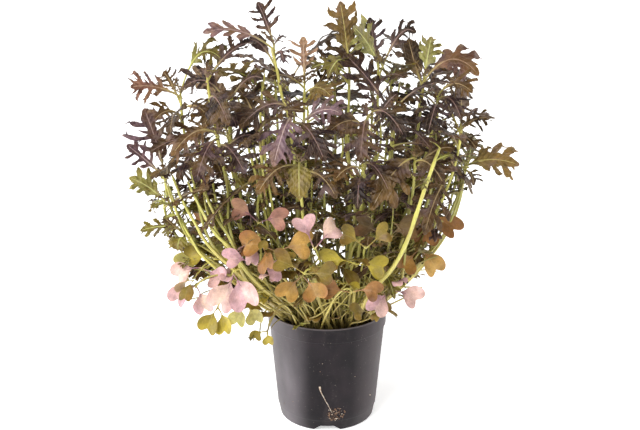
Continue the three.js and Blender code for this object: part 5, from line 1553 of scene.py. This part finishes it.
def studio():
    """The camera at the photograph's angle, soft lights, a pale floor."""
    camera = bpy.data.cameras.new("camera")
    camera.sensor_width, camera.lens = SENSOR_WIDTH, LENS
    holder = linked("camera", camera)
    holder.location = EYE * MM
    holder.rotation_euler = (math.radians(90 - TILT), 0, 0)
    bpy.context.scene.camera = holder
    area_light("left", (-0.9, -0.12, 0.2), (0, 0, 0.12), 0.5, 4)
    area_light("right", (1.0, 0.25, 0.2), (0, 0, 0.12), 0.5, 1.5)
    sun = bpy.data.lights.new("key", "SUN")
    sun.energy, sun.angle = SUN_POWER, math.radians(SUN_SPREAD)
    linked("key", sun).rotation_euler = facing(SUN_WAY)
    world = bpy.data.worlds.new("studio")
    world.use_nodes = True
    sky = world.node_tree.nodes["Background"]
    sky.inputs["Color"].default_value = (1, 1, 1, 1)
    sky.inputs["Strength"].default_value = SKY
    bpy.context.scene.world = world
    mesh = bpy.data.meshes.new("floor")
    edges = ((FLOOR_REACH, FLOOR), (RIM_REACH, RIM_HEIGHT))
    corners = [tuple(polar(reach, k * math.pi * 2 / FLOOR_SIDES, height))
               for reach, height in edges for k in range(FLOOR_SIDES)]
    after = [(k + 1) % FLOOR_SIDES for k in range(FLOOR_SIDES)]
    rises = [(k, after[k], FLOOR_SIDES + after[k], FLOOR_SIDES + k) for k in range(FLOOR_SIDES)]
    mesh.from_pydata(corners, [], [tuple(range(FLOOR_SIDES))] + rises)
    floor = linked("floor", mesh)
    shade = Shade("floor_paper")
    colour = shade.blend(shade.noise(3, 2), (251, 251, 251), (254, 254, 254))
    mesh.materials.append(shade.finish(colour, 0.9, shade.bump(shade.noise(200, 2), 0.02, 0.001),
                                       Emission_Color=(1, 1, 1, 1), Emission_Strength=0.5))
    bpy.context.scene.view_settings.view_transform = "Standard"


def placed(piece, node):
    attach(piece, "root")
    if node:
        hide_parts(node)


studio()
STEM = stem_material()
LEAF = leaf_material("leaf", 0.38, 0.05, 0.6, 0.52, 1.0, 0.4)
SEED = leaf_material("seed_leaf", 0.4, 0.15, 0.45, 0.1, 0.35, 0.22)
shoots = grown_shoots()
for row in shoots:
    if row.sprout and not row.twin:
        made = sprout_piece([row] + [other for other in shoots if other.twin is row])
        placed(made.build(row.name + "_fine", [SEED, STEM]), row.name)
    elif not row.sprout:
        placed(seedling_piece(row).build(row.name + "_fine", [LEAF, STEM]), row.name)
soil = soil_material()
placed(pot_piece(pot_material()), "pot")
placed(soil_piece(soil), "soil")
placed(debris_piece(root_material(), peat_material()), None)
